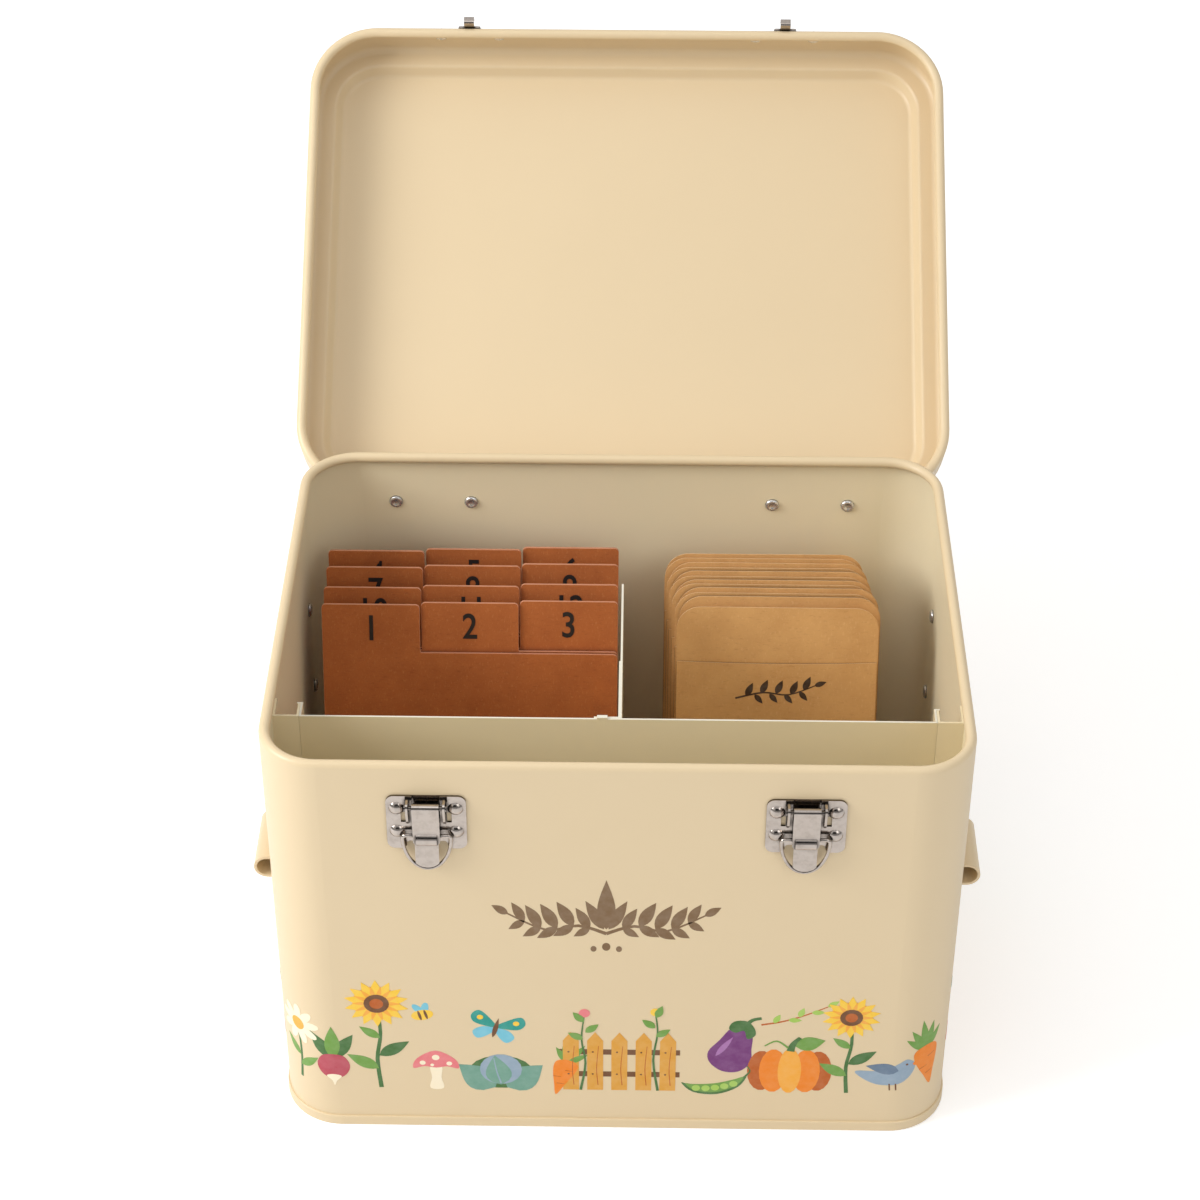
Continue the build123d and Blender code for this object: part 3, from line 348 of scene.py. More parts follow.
put_out(fibre, gout, Colour=shade, Roughness=range_map(fibre, clouds, 0.3, 0.7, 0.68, 0.84),
        Height=math_node(fibre, "ADD", long_x, long_z))

# %% [markdown]
# Nickel plate is bright, with a soft grain from rolling and small scuffs that
# show as changes of roughness.

# %% Plate wear group
plate, given, gout = new_group(
    "plate_wear",
    {"Grain size": 2500.0, "Scuff": 0.12, "Base roughness": 0.2,
     "Colour": (0.8, 0.78, 0.75, 1.0), "Dull colour": (0.6, 0.57, 0.53, 1.0)}, LOOK)
place = own_place(plate)
rolled = stretched(plate, place, (1.0, 0.3, 0.12))
grain = noise(plate, rolled, given["Grain size"], 3.0, 0.6)
worn = range_map(plate, noise(plate, place, 260.0, 5.0, 0.7), 0.45, 0.75)
scuff = math_node(plate, "MULTIPLY", worn, given["Scuff"])
put_out(plate, gout, Height=grain,
        Colour=mix_colour(plate, worn, given["Colour"], given["Dull colour"]),
        Roughness=math_node(plate, "ADD", given["Base roughness"], scuff))

# %% [markdown]
# Narrow gaps are darker where shade falls: round a rivet, under a lever, between two sheets of
# paper. Ambient occlusion finds them by looking a few millimetres round each point, and the group
# mixes in a darker colour there as painted shade.

# %% Recess group: painted shade in narrow gaps
recess, given, gout = new_group(
    "recess_shade",
    {"Reach": 0.003, "Strength": 0.7, "Colour": (0.8, 0.8, 0.8, 1.0),
     "Recess colour": (0.1, 0.1, 0.1, 1.0)}, {"Colour": COLOUR})
openness = add(recess, "ShaderNodeAmbientOcclusion", samples=8)
recess.links.new(given["Reach"], openness.inputs["Distance"])
closed = range_map(recess, openness.outputs["AO"], 0.95, 0.5)
closed = math_node(recess, "MULTIPLY", closed, given["Strength"], clamp=True)
put_out(recess, gout,
        Colour=mix_colour(recess, closed, given["Colour"], given["Recess colour"]))

# %% [markdown]
# ## Finishes
# Each finish is one material: a Principled BSDF fed by one of the groups. A
# small function wires them, because they differ only in their values.

# %% Material maker
def srgb(r, g, b):
    """An 8-bit screen colour as the linear colour that shaders use."""
    return tuple(v / 255 / 12.92 if v <= 10 else ((v / 255 + 0.055) / 1.055) ** 2.4
                 for v in (r, g, b)) + (1.0,)


def finish(name, group, values, bump, bump_distance, shade=None, **shader):
    """A material: one effect group into a Principled BSDF, with a bump.
    `shade` is the reach in metres, strength and colour of the shade painted into its recesses."""
    material = bpy.data.materials.new(name)
    material.use_nodes = True
    tree = material.node_tree
    bsdf = tree.nodes["Principled BSDF"]
    effect = add(tree, "ShaderNodeGroup", node_tree=group)
    for key, value in values.items():
        effect.inputs[key].default_value = value
    colour = effect.outputs["Colour"]
    if shade:
        gaps = add(tree, "ShaderNodeGroup", node_tree=recess)
        for key, value in zip(("Reach", "Strength", "Recess colour"), shade):
            gaps.inputs[key].default_value = value
        tree.links.new(colour, gaps.inputs["Colour"])
        colour = gaps.outputs["Colour"]
    tree.links.new(colour, bsdf.inputs["Base Color"])
    tree.links.new(effect.outputs["Roughness"], bsdf.inputs["Roughness"])
    bumps = add(tree, "ShaderNodeBump", inputs={"Strength": bump, "Distance": bump_distance})
    tree.links.new(effect.outputs["Height"], bumps.inputs["Height"])
    tree.links.new(bumps.outputs["Normal"], bsdf.inputs["Normal"])
    for key, value in shader.items():
        bsdf.inputs[key.replace("_", " ")].default_value = value
    material.diffuse_color = values["Colour"]
    return material


# Given to plated and fibrous finishes, a tuple of reach, strength and colour is painted shade in
# narrow gaps.
def plated(name, colour, dull, rough, scuff, bump, gaps, metallic=1.0):
    return finish(
        name, plate,
        {"Colour": srgb(*colour), "Dull colour": srgb(*dull), "Base roughness": rough,
         "Scuff": scuff},
        bump, 0.0001, gaps, Metallic=metallic)


def fibrous(name, colours, flecks, clouds, size, bump, gaps=None, sheen=0.0):
    """Board or paper; `colours` are its own and its dark and pale flecks'."""
    own, dark, pale = [srgb(*colour) for colour in colours]
    return finish(
        name, fibre,
        {"Colour": own, "Dark fleck": dark, "Pale fleck": pale, "Fleck strength": flecks,
         "Cloud strength": clouds, "Fleck size": size}, bump, 0.0002, gaps, Sheen_Weight=sheen)


cream = finish(
    "cream_enamel", enamel,
    {"Colour": srgb(226, 204, 166), "Deep colour": srgb(206, 182, 142), "Drift": 0.18,
     "Base roughness": 0.4},
    0.06, 0.0002, Coat_Weight=0.25, Coat_Roughness=0.32, Specular_IOR_Level=0.4)
divider_cream = finish(
    "divider_enamel", enamel,
    {"Colour": srgb(236, 221, 184), "Deep colour": srgb(214, 198, 160), "Drift": 0.3,
     "Base roughness": 0.38},
    0.06, 0.0002, Coat_Weight=0.2, Coat_Roughness=0.3)
# The tuples of reach, strength and colour below are painted shade: darker round rivets, under
# levers and between sheets.
nickel = plated("nickel_plate", (192, 182, 174), (172, 161, 152), 0.14, 0.1, 0.05,
                (0.0022, 0.95, srgb(34, 27, 22)))
steel = plated("plated_steel", (214, 211, 207), (176, 172, 166), 0.16, 0.12, 0.08,
               (0.0018, 0.9, srgb(30, 27, 25)))
board = fibrous("card_board", ((180, 99, 42), (132, 64, 22), (204, 132, 74)),
                0.45, 0.3, 1500.0, 0.18, (0.003, 0.6, srgb(84, 36, 14)), 0.06)
board_edge = fibrous("card_cut_edge", ((206, 142, 108), (158, 94, 62), (226, 178, 148)),
                     0.5, 0.3, 2400.0, 0.25)
kraft = fibrous("kraft_paper", ((216, 165, 102), (176, 122, 66), (234, 192, 138)),
                0.4, 0.28, 1300.0, 0.15, (0.0025, 0.85, srgb(128, 84, 44)), 0.08)
kraft_edge = fibrous("kraft_cut_edge", ((238, 206, 160), (200, 158, 112), (250, 228, 190)),
                     0.4, 0.2, 2600.0, 0.1)
print([m.name for m in (cream, divider_cream, nickel, steel, board, board_edge, kraft, kraft_edge)])

# %% [markdown]
# Inside the body the colour is a little paler and greyer than outside: painted light, which
# brightens the walls that the box itself shades. The walls are one solid, so the finish finds the
# inside by its place: nearer the middle than the sheet's outer face.

# %% Painted light: paler colour inside the body
BODY_X, BODY_Y, CORNER_R = 150.0, 114.0, 26.0  # half width, half depth, corner
STRAIGHT_X, STRAIGHT_Y = BODY_X - CORNER_R, BODY_Y - CORNER_R
SHEET = 0.8
INSIDE_BELOW = 209.5     # just under the rolled rim
tree = cream.node_tree
bsdf = tree.nodes["Principled BSDF"]
outside = bsdf.inputs["Base Color"].links[0].from_socket
at = add(tree, "ShaderNodeSeparateXYZ")
tree.links.new(own_place(tree), at.inputs[0])
# how far the point lies out along the round of a corner, in x and in y
squares = []
for axis, straight in (("X", STRAIGHT_X), ("Y", STRAIGHT_Y)):
    past = math_node(tree, "ABSOLUTE", at.outputs[axis])
    past = math_node(tree, "MAXIMUM", math_node(tree, "SUBTRACT", past, straight * MM), 0.0)
    squares.append(math_node(tree, "MULTIPLY", past, past))
reach = math_node(tree, "SQRT", math_node(tree, "ADD", *squares))
within = math_node(tree, "LESS_THAN", reach, (CORNER_R - SHEET / 2) * MM)
below_rim = math_node(tree, "LESS_THAN", at.outputs["Z"], INSIDE_BELOW * MM)
# painted light: below the rim, the inside of the body takes a paler colour
inside = math_node(tree, "MULTIPLY", within, below_rim)
feed(tree, bsdf.inputs["Base Color"], mix_colour(tree, inside, outside, srgb(238, 224, 190)))
print("inside mask on", cream.name)

# %% [markdown]
# The dividers are cut from painted sheet. Their sheared top edges catch the light and read almost
# white, so a painted highlight of near-white colour goes on them. The edge could be a separate
# strip, but the finish can tell it by itself: only the cut edge faces straight up.

# %% Painted highlight on the dividers' top edges
tree = divider_cream.node_tree
bsdf = tree.nodes["Principled BSDF"]
flat_colour = bsdf.inputs["Base Color"].links[0].from_socket
upwards = add(tree, "ShaderNodeSeparateXYZ")
tree.links.new(add(tree, "ShaderNodeNewGeometry").outputs["Normal"], upwards.inputs[0])
# painted highlight: faces that point up take a near-white colour
painted_highlight_mask = range_map(tree, upwards.outputs["Z"], 0.7, 0.95)
feed(tree, bsdf.inputs["Base Color"],
     mix_colour(tree, painted_highlight_mask, flat_colour, srgb(232, 226, 208)))
print("edge mask on", divider_cream.name)

# %% [markdown]
# ## Dress the solids
# The steel solids already have the right shape, so they stay and only take a finish.

# %% Finishes on the solids
FINISH_OF = [
    ("latch_", nickel), ("keeper_", nickel), ("hinge_", steel), ("loop_rivets", steel),
    ("cross_divider", divider_cream), ("centre_divider", divider_cream),
]
PAPER_GOODS = ("month_card", "envelope")  # dressed further on


def finish_for(node):
    for start, material in FINISH_OF:
        if node.startswith(start):
            return material
    return cream


steel_goods = [name for name in nodes if not name.startswith(PAPER_GOODS)]
for name in steel_goods:
    nodes[name].data.materials.clear()
    nodes[name].data.materials.append(finish_for(name))
print("finished", len(steel_goods), "solids")

# %% [markdown]
# ## Set ends of the rivets
# Seen from inside, each rivet ends in a rolled silver ring with a dimple. The
# solids have a plain set end, so a turned ring covers it: one profile, spun
# round its axis at each rivet. The keepers' rivets are on the lid, whose place
# is found by turning the shut lid's about the hinge.

# %% Turned rings
RING = ((3.3, 0.0), (3.3, 0.4), (2.95, 1.0), (2.35, 1.35), (1.8, 1.25), (1.35, 0.95),
        (0.0, 0.5))      # radius and height of the profile
RING_STEPS = 24
HINGE_AT, LID_OPEN_DEG = Vector((0, 117.5, 195.5)), -142
# where the rivets are: middle of the hardware, spacing and height
HINGE_X, HINGE_RIVET_DX, HINGE_RIVET_Z = 90, 18, 186.2
LOOP_RIVET_Y, LOOP_RIVET_Z = (-69.3, 80.5), (145.0, 98.7)
LATCH_X, KEEPER_RIVET_DX, KEEPER_RIVET_Z = 79, 14.5, 206.7
LID_INSIDE_Y = -119.7    # the shut lid's front wall, from inside
# The tuple of reach, strength and colour is painted shade in the rings' hollows.
silver = plated("set_end_silver", (228, 227, 226), (190, 188, 185), 0.24, 0.1, 0.05,
                (0.0016, 0.9, srgb(40, 38, 36)), 0.8)


def turned_rings(name, places, body):
    """One object with a ring at each (point, direction off the wall) in mm."""
    bm = bmesh.new()
    round_angles = [2 * math.pi * k / RING_STEPS for k in range(RING_STEPS)]
    for at, off in places:
        facing = Vector(off).to_track_quat("Z", "Y").to_matrix().to_4x4()
        to_wall = Matrix.Translation(Vector(at)) @ facing
        rows = [[bm.verts.new(to_wall @ Vector((r * math.cos(a), r * math.sin(a), h)))
                 for a in round_angles] for r, h in RING[:-1]]
        tip = bm.verts.new(to_wall @ Vector((0, 0, RING[-1][1])))
        for low, high in zip(rows, rows[1:]):
            for k in range(RING_STEPS):
                n = (k + 1) % RING_STEPS
                bm.faces.new((low[k], low[n], high[n], high[k]))
        for k in range(RING_STEPS):
            bm.faces.new((rows[-1][k], rows[-1][(k + 1) % RING_STEPS], tip))
        bm.faces.new(rows[0][::-1])
    bm.transform(Matrix.Scale(MM, 4))
    mesh = bpy.data.meshes.new(name)
    bm.to_mesh(mesh)
    bm.free()
    for polygon in mesh.polygons:
        polygon.use_smooth = len(polygon.vertices) < RING_STEPS
    mesh.materials.append(silver)
    piece = spawn(name, mesh)
    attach(piece, body)


about_hinge = Matrix.Translation(HINGE_AT)
LID_OPEN = (about_hinge @ Matrix.Rotation(math.radians(LID_OPEN_DEG), 4, "X")
            @ Matrix.Translation(-HINGE_AT))
body_rings = [((side * HINGE_X + dx, BODY_Y - SHEET, HINGE_RIVET_Z), (0, -1, 0))
              for side in (-1, 1) for dx in (-HINGE_RIVET_DX, HINGE_RIVET_DX)]
body_rings += [((side * (BODY_X - SHEET), y, z), (-side, 0, 0))
               for side in (-1, 1) for y in LOOP_RIVET_Y for z in LOOP_RIVET_Z]
lid_rings = [(LID_OPEN @ Vector((side * LATCH_X + dx, LID_INSIDE_Y, KEEPER_RIVET_Z)),
              LID_OPEN.to_3x3() @ Vector((0, 1, 0)))
             for side in (-1, 1) for dx in (-KEEPER_RIVET_DX, KEEPER_RIVET_DX)]
turned_rings("set_rings_body", body_rings, "box")
turned_rings("set_rings_lid", lid_rings, "lid")
print(len(body_rings), "rings in the body,", len(lid_rings), "in the lid")

# %% [markdown]
# ## Sheets cut from an outline
# Cards, envelopes and printed motifs all start as a flat outline. `cut_sheet` fills the outline and
# cuts it by a grid so that it can bend, and `thicken` makes it a closed solid. Its own plane is u
# to the right and v up.

# %% Outline helpers
def rounded(points, radii, steps=6):
    """The polygon `points` with each corner rounded by its radius."""
    out, n = [], len(points)
    for i, corner in enumerate(points):
        r = radii[i]
        a, b, c = Vector(points[i - 1]), Vector(corner), Vector(points[(i + 1) % n])
        if r <= 0:
            out.append(tuple(b))
            continue
        u, v = (a - b).normalized(), (c - b).normalized()
        half = math.acos(max(-1, min(1, u.dot(v)))) / 2
        centre = b + (u + v).normalized() * (r / math.sin(half))
        start = b + u * (r / math.tan(half)) - centre
        turn = start.angle_signed(b + v * (r / math.tan(half)) - centre)
        for k in range(steps + 1):
            p = start.copy()
            p.rotate(Matrix.Rotation(-turn * k / steps, 2))
            out.append(tuple(centre + p))
    return out


def cut_across(bm, axis, at):
    """Cuts a sheet along the line u = at (axis 0) or v = at (axis 1)."""
    normal = Vector((0, 0, 0))
    normal[axis] = 1
    bmesh.ops.bisect_plane(bm, geom=bm.verts[:] + bm.edges[:] + bm.faces[:],
                           plane_co=normal * at, plane_no=normal)


def cut_sheet(outline, *steps):
    """A flat bmesh of the outline in u, v, cut by a grid of those steps."""
    bm = bmesh.new()
    bm.faces.new([bm.verts.new((u, v, 0)) for u, v in outline])
    for axis, step in enumerate(steps):
        low, high = min(p[axis] for p in outline), max(p[axis] for p in outline)
        count = int((high - low) / step)
        for k in range(1, count + 1):
            cut_across(bm, axis, low + (high - low) * k / (count + 1))
    return bm


def thicken(bm, low, high):
    """Turns a flat sheet into a closed one from w=low to w=high."""
    bmesh.ops.recalc_face_normals(bm, faces=bm.faces[:])
    if bm.faces[0].normal.z < 0:
        bmesh.ops.reverse_faces(bm, faces=bm.faces[:])
    top = bm.faces[:]
    rim = [e for e in bm.edges if e.is_boundary]
    copy = bmesh.ops.duplicate(bm, geom=bm.verts[:] + bm.edges[:] + bm.faces[:])
    twin = copy["vert_map"]
    for face in [g for g in copy["geom"] if isinstance(g, bmesh.types.BMFace)]:
        face.normal_flip()
    for v in {v for f in top for v in f.verts}:
        v.co.z = high
        twin[v].co.z = low
    for e in rim:
        a, b = e.verts
        loop = e.link_loops[0]
        if loop.vert is not a:
            a, b = b, a
        bm.faces.new((b, a, twin[a], twin[b]))
        e.smooth = False
        bm.edges.get((twin[a], twin[b])).smooth = False
    return bm


def object_from(bm, name, *materials):
    mesh = bpy.data.meshes.new(name)
    bm.to_mesh(mesh)
    bm.free()
    for material in materials:
        mesh.materials.append(material)
    return spawn(name, mesh)


def edges_apart(bm):
    """Gives the faces of a sheet material 0 and its cut edges material 1."""
    for face in bm.faces:
        face.material_index = 0 if abs(face.normal.z) > 0.5 else 1


print("sheet tools ready")

# %% [markdown]
# ## The month cards
# Twelve brown board cards stand in four rows of three tabs and lean back a
# little. The grid lets each card bow slightly, as board does, and the bevel
# takes the paler colour of the cut edge, which is where real board rubs first.

# %% Shape of a card
CARD_X0, CARD_W, CARD_T, CARD_H = -139.1, 138.0, 1.5, 176.4
CARD_TAB_H, CARD_R, TAB_GAP, CARD_COLS = 24.0, 2.0, 0.6, 3
FLOOR_TOP, STACK_GAP = 0.9, 0.4


def card_outline(col):
    """Outline of a card with its tab in third `col`, u from its left edge."""
    third = CARD_W / CARD_COLS
    a, b = col * third + TAB_GAP / 2, (col + 1) * third - TAB_GAP / 2
    low = CARD_H - CARD_TAB_H
    pts, radii = [(0, 0), (CARD_W, 0)], [CARD_R, CARD_R]
    if col == CARD_COLS - 1:
        pts.append((CARD_W, CARD_H))
        radii.append(CARD_R)
    else:
        pts += [(CARD_W, low), (b, low), (b, CARD_H)]
        radii += [CARD_R, TAB_GAP, CARD_R]
    if col == 0:
        pts.append((0, CARD_H))
        radii.append(CARD_R)
    else:
        pts += [(a, CARD_H), (a, low), (0, low)]
        radii += [CARD_R, TAB_GAP, CARD_R]
    return rounded(pts, radii)


def leaning(top_y, lean, height, foot_lift):
    """Matrix from a sheet's u, v, w in mm, w towards the front, to its place."""
    a = math.radians(lean)
    foot = Vector((0, top_y - height * math.sin(a), FLOOR_TOP + STACK_GAP + foot_lift))
    m = Matrix(((1, 0, 0), (0, math.sin(a), -math.cos(a)),
                (0, math.cos(a), math.sin(a)))).to_4x4()
    m.translation = foot
    return Matrix.Scale(MM, 4) @ m


def bow(bm, amount, wide, phase):
    """Bends a sheet a little out of its plane."""
    for v in bm.verts:
        u = (v.co.x / wide - 0.5) * 2
        v.co.z += amount * (1 - u * u) * math.sin(phase + v.co.y / 70)


print("a card has", len(card_outline(0)), "corners")

# %% [markdown]
# The rows lean less towards the rear, so that a whole row can be lifted out
# past the others. Every card gets its own small bow. A fixed seed makes it the
# same each time.

# %% Month cards
CARD_ROW_Y = (50.9, 62.5, 76.7, 88.6)
CARD_ROW_LEAN = (16.0, 14.6, 12.9, 11.5)
CARD_PITCH = 1.9
CARD_GRID = (12.0, 14.0)
CARD_BOW = 0.1
EDGE_WORN, EDGE_SHARPER = 0.22, 50  # width in mm, and from which angle

random.seed(7)
card_spots = []
for i in range(CARD_COLS * len(CARD_ROW_Y)):
    row, col = divmod(i, CARD_COLS)
    lean = CARD_ROW_LEAN[row]
    to_place = leaning(CARD_ROW_Y[row] + col * CARD_PITCH, lean, CARD_H,
                       CARD_T * math.sin(math.radians(lean)))
    sheet = cut_sheet(card_outline(col), *CARD_GRID)
    thicken(sheet, -CARD_T, 0.0)
    bow(sheet, random.uniform(-CARD_BOW, CARD_BOW), CARD_W, random.uniform(0, 6))
    edges_apart(sheet)
    sheet.transform(to_place @ Matrix.Translation((CARD_X0, 0, 0)))
    card = object_from(sheet, "board_card_%02d" % (i + 1), board, board_edge)
    softened = card.modifiers.new("softened_edge", "BEVEL")
    softened.width = EDGE_WORN * MM
    softened.segments = 2
    softened.limit_method = "ANGLE"
    softened.angle_limit = math.radians(EDGE_SHARPER)
    softened.material = 1
    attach(card, "card_%02d" % (i + 1))
    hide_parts("month_card_%02d" % (i + 1))
    card_spots.append((to_place, col))
print(len(card_spots), "cards")

# %% [markdown]
# The tabs carry plain numbers. A text object would do in a render, but a
# thin raised solid also survives in the exported mesh, so each number is
# text that is given a hair of thickness.

# %% Numbers on the tabs
ink = bpy.data.materials.new("black_ink")
ink.use_nodes = True
tree = ink.node_tree
bsdf = tree.nodes["Principled BSDF"]
patchy = range_map(tree, noise(tree, own_place(tree), 900.0, 4.0, 0.7), 0.3, 0.8)
feed(tree, bsdf.inputs["Base Color"], mix_colour(tree, patchy, srgb(18, 15, 14), srgb(44, 34, 28)))
bsdf.inputs["Roughness"].default_value = 0.6

NUMBER_TALL, NUMBER_BELOW_TOP = 13.0, 4.6
NUMBER_BOLD, NUMBER_NARROW = 0.2, 0.82
FIGURE_SHARE = 0.73      # of the font's size that a figure is tall
INK_PROUD, INK_OFF = 0.05, 0.12
ORDER = (1, 2, 3, 10, 11, 12, 7, 8, 9, 4, 5, 6)
for i, (to_place, col) in enumerate(card_spots):
    text = bpy.data.curves.new("tab_number", "FONT")
    text.body = str(ORDER[i])
    text.size = NUMBER_TALL / FIGURE_SHARE
    text.align_x = "CENTER"
    text.extrude = INK_PROUD
    text.offset = NUMBER_BOLD
    text.resolution_u = 6
    number = spawn("tab_number_%02d" % (i + 1), text)
    middle = CARD_X0 + (col + 0.5) * CARD_W / CARD_COLS
    foot = CARD_H - NUMBER_BELOW_TOP - NUMBER_TALL
    number.matrix_world = (to_place @ Matrix.Translation((middle, foot, INK_OFF))
                           @ Matrix.Diagonal((NUMBER_NARROW, 1, 1, 1)))
    text.materials.append(ink)
    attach(number, "card_%02d" % (i + 1))
print("numbers on", len(card_spots), "tabs")

# %% [markdown]
# ## The envelopes
# Each kraft envelope is a back sheet whose flap stands open, with rounded shoulders, and a pocket
# panel in front that bellies out a little. Both are thin closed sheets. They could be simulated as
# cloth, but paper this stiff only waves slightly, so a smooth wave is added instead.

# %% Sheets of an envelope
ENV_X0, ENV_W, ENV_H, ENV_LAYER = 26.4, 94.3, 176.4, 0.45
ENV_FLAP_H, ENV_FLAP_R, ENV_FOOT_R = 27.0, 11.0, 0.8
PAPER = 0.34
POCKET_H = ENV_H - ENV_FLAP_H
POCKET_IN, POCKET_BELLY = 0.25, 0.22
MOUTH_FROM, MOUTH_DIP = 0.93, 0.9  # share of the height, and mm


def belly(across, up):
    """How far the pocket stands off; across from -1 to 1, up from 0 to 1."""
    return POCKET_BELLY * max(0.0, 1 - across ** 4) * (0.35 + 0.65 * up)


def back_sheet(wave, phase):
    """The back with its open flap, which waves a little along its top."""
    back = cut_sheet(rounded([(0, 0), (ENV_W, 0), (ENV_W, ENV_H), (0, ENV_H)],
                             [ENV_FOOT_R, ENV_FOOT_R, ENV_FLAP_R, ENV_FLAP_R], 10), 8.0, 8.0)
    thicken(back, -PAPER, 0.0)
    for v in back.verts:
        lift = max(0.0, v.co.y - POCKET_H) / ENV_FLAP_H
        v.co.z += wave * lift * math.sin(v.co.x / 17 + phase)
    return back


def pocket_sheet():
    """The front panel, whose mouth dips in the middle."""
    left, right = POCKET_IN, ENV_W - POCKET_IN
    pocket = cut_sheet(rounded([(left, 0.8), (right, 0.8), (right, POCKET_H), (left, POCKET_H)],
                               [0.5, 0.5, 0.6, 0.6]), 8.0, 10.0)
    thicken(pocket, 0.02, PAPER)
    for v in pocket.verts:
        u, h = (v.co.x / ENV_W - 0.5) * 2, v.co.y / POCKET_H
        v.co.z += belly(u, h)
        if h > MOUTH_FROM:
            v.co.y -= MOUTH_DIP * (1 - u * u) * (h - MOUTH_FROM) / (1 - MOUTH_FROM)
    return pocket


print("pocket", POCKET_H, "mm tall under a flap of", ENV_FLAP_H, "mm")

# %% [markdown]
# The envelopes are fanned out to the rear in uneven steps, because a real stack never stands in
# even ones.

# %% Envelopes
ENV_FIRST_Y, ENV_LEAN = 53.3, (17.0, 14.0)
ENV_DY = (0.0, 7.9, 10.3, 14.1, 16.5, 19.6, 22.0, 25.9, 28.3, 31.9, 35.2, 38.4)
ENV_DX = (0.0, 1.2, -0.8, 0.7, -2.2, -1.2, -3.6, -2.2, -4.6, -3.4, -5.6, -5.2)

random.seed(11)
envelope_spots = []
for i, (dx, dy) in enumerate(zip(ENV_DX, ENV_DY)):
    lean = ENV_LEAN[0] + (ENV_LEAN[1] - ENV_LEAN[0]) * i / (len(ENV_DY) - 1)
    foot = ENV_LAYER * math.sin(math.radians(lean))
    to_place = (leaning(ENV_FIRST_Y + dy, lean, ENV_H, foot)
                @ Matrix.Translation((ENV_X0 + dx, 0, 0)))
    back = back_sheet(random.uniform(0.1, 0.2), random.uniform(0, 6))
    both = []
    for kind, sheet in (("back", back), ("pocket", pocket_sheet())):
        edges_apart(sheet)
        sheet.transform(to_place)
        both.append(object_from(sheet, "kraft_%s_%02d" % (kind, i + 1), kraft, kraft_edge))
    for piece in both:
        for polygon in piece.data.polygons:
            polygon.use_smooth = polygon.material_index == 0
        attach(piece, "env_%02d" % (i + 1))
    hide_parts("envelope_%02d" % (i + 1))
    envelope_spots.append(to_place)
print(len(envelope_spots), "envelopes")

# %% [markdown]
# ## Drawing printed motifs
# The printed motifs are built from four simple shapes: a pointed leaf, a
# disc, a smooth blob through a few points, and a stem of changing width. They
# could be painted on an image, but outlines stay sharp at any size and need no
# picture file.

# %% Shapes of the print
def turned(points, x, y, degrees):
    """Points turned clockwise about the origin, then moved to x, y."""
    a = math.radians(degrees)
    return [(x + u * math.cos(a) + v * math.sin(a), y - u * math.sin(a) + v * math.cos(a))
            for u, v in points]


def leaf(x, y, long, wide, turn, belly=0.8, steps=8):
    """A pointed leaf with its foot at x, y; `belly` under 1 is widest low down."""
    right = [(wide / 2 * math.sin(math.pi * (k / steps) ** belly), long * k / steps)
             for k in range(steps)]
    left = [(-u, v) for u, v in reversed(right[1:])]
    return turned(right + [(0, long)] + left, x, y, turn)


def disc(x, y, wide, tall=None, turn=0, steps=18):
    tall = tall or wide
    ring = [2 * math.pi * k / steps for k in range(steps)]
    return turned([(wide / 2 * math.cos(a), tall / 2 * math.sin(a)) for a in ring], x, y, turn)


def curve_through(points, closed, steps=4):
    """A smooth Catmull-Rom line through the points."""
    n, out = len(points), []
    for i in range(n if closed else n - 1):
        around = [points[(i + k) % n] if closed else points[max(0, min(n - 1, i + k))]
                  for k in (-1, 0, 1, 2)]
        for k in range(steps):
            t = k / steps
            out.append(tuple(0.5 * (2 * b + (c - a) * t + (2 * a - 5 * b + 4 * c - d) * t * t
                                    + (3 * b - a - 3 * c + d) * t ** 3)
                             for a, b, c, d in zip(*around)))
    return out if closed else out + [tuple(points[-1])]


def blob(*points):
    return curve_through(list(points), True)


def stem(points, thick, thin=None):
    """A ribbon along a smooth line, from `thick` to `thin` wide."""
    line, thin = curve_through(points, False), thin or thick
    left, right = [], []
    for i, p in enumerate(line):
        a, b = Vector(line[max(0, i - 1)]), Vector(line[min(len(line) - 1, i + 1)])
        wide = thick + (thin - thick) * i / (len(line) - 1)
        side = (b - a).normalized().orthogonal() * wide / 2
        left.append((p[0] + side.x, p[1] + side.y))
        right.append((p[0] - side.x, p[1] - side.y))
    return left + right[::-1]


print("leaf points:", len(leaf(0, 0, 10, 4, 0)), "disc points:", len(disc(0, 0, 5)))

# %% [markdown]
# The border shows things from a kitchen garden. Each motif is a list of
# coloured shapes, drawn from the ground up with its middle at zero, in the
# order in which they overlap.

# %% Motifs of the border
def carrot():
    tops = [("leaf green", leaf(0, 26, 20 - abs(a) / 7, 4.2, a)) for a in (-42, -22, 0, 20, 44)]
    rings = [("rust", stem([(x - 2.4, y), (x + 2.0, y + 0.5)], 0.5, 0.2))
             for x, y in ((3, 20), (-2.4, 14), (1, 9))]
    return tops + [("orange", blob((0.6, 0), (3.4, 9), (6.2, 19), (6.6, 25), (3, 28), (-3, 28),
                                   (-6.6, 25), (-6, 18), (-2.6, 8)))] + rings


def radish():
    tops = ([("moss green", leaf(0, 17, 18, 7, a)) for a in (-34, 32)]
            + [("leaf green", leaf(0, 17, 20, 7, 0))])
    return tops + [("rose", blob((0, 4), (5.5, 7), (7.4, 13), (4, 19), (-4, 19), (-7.4, 13),
                                 (-5.5, 7))),
                   ("cream white", blob((0, 0), (1.2, 3), (3.4, 5.8), (0, 7), (-3.4, 5.8),
                                        (-1, 3)))]


def aubergine():
    return [("purple", blob((-5, 3), (3, 0.6), (10, 4), (12, 12), (8, 20), (4, 28), (-2, 32),
                            (-7, 28), (-8, 18), (-9, 9))),
            ("lilac", leaf(-4.5, 8, 15, 3, 4)),
            ("moss green", blob((-8, 27), (-4, 26), (-1, 29), (3, 25), (5, 29), (2, 33), (-3, 35),
                                (-8, 32))),
            ("moss green", stem([(-2, 33), (-1, 37), (2, 40)], 2.2, 1.6))]


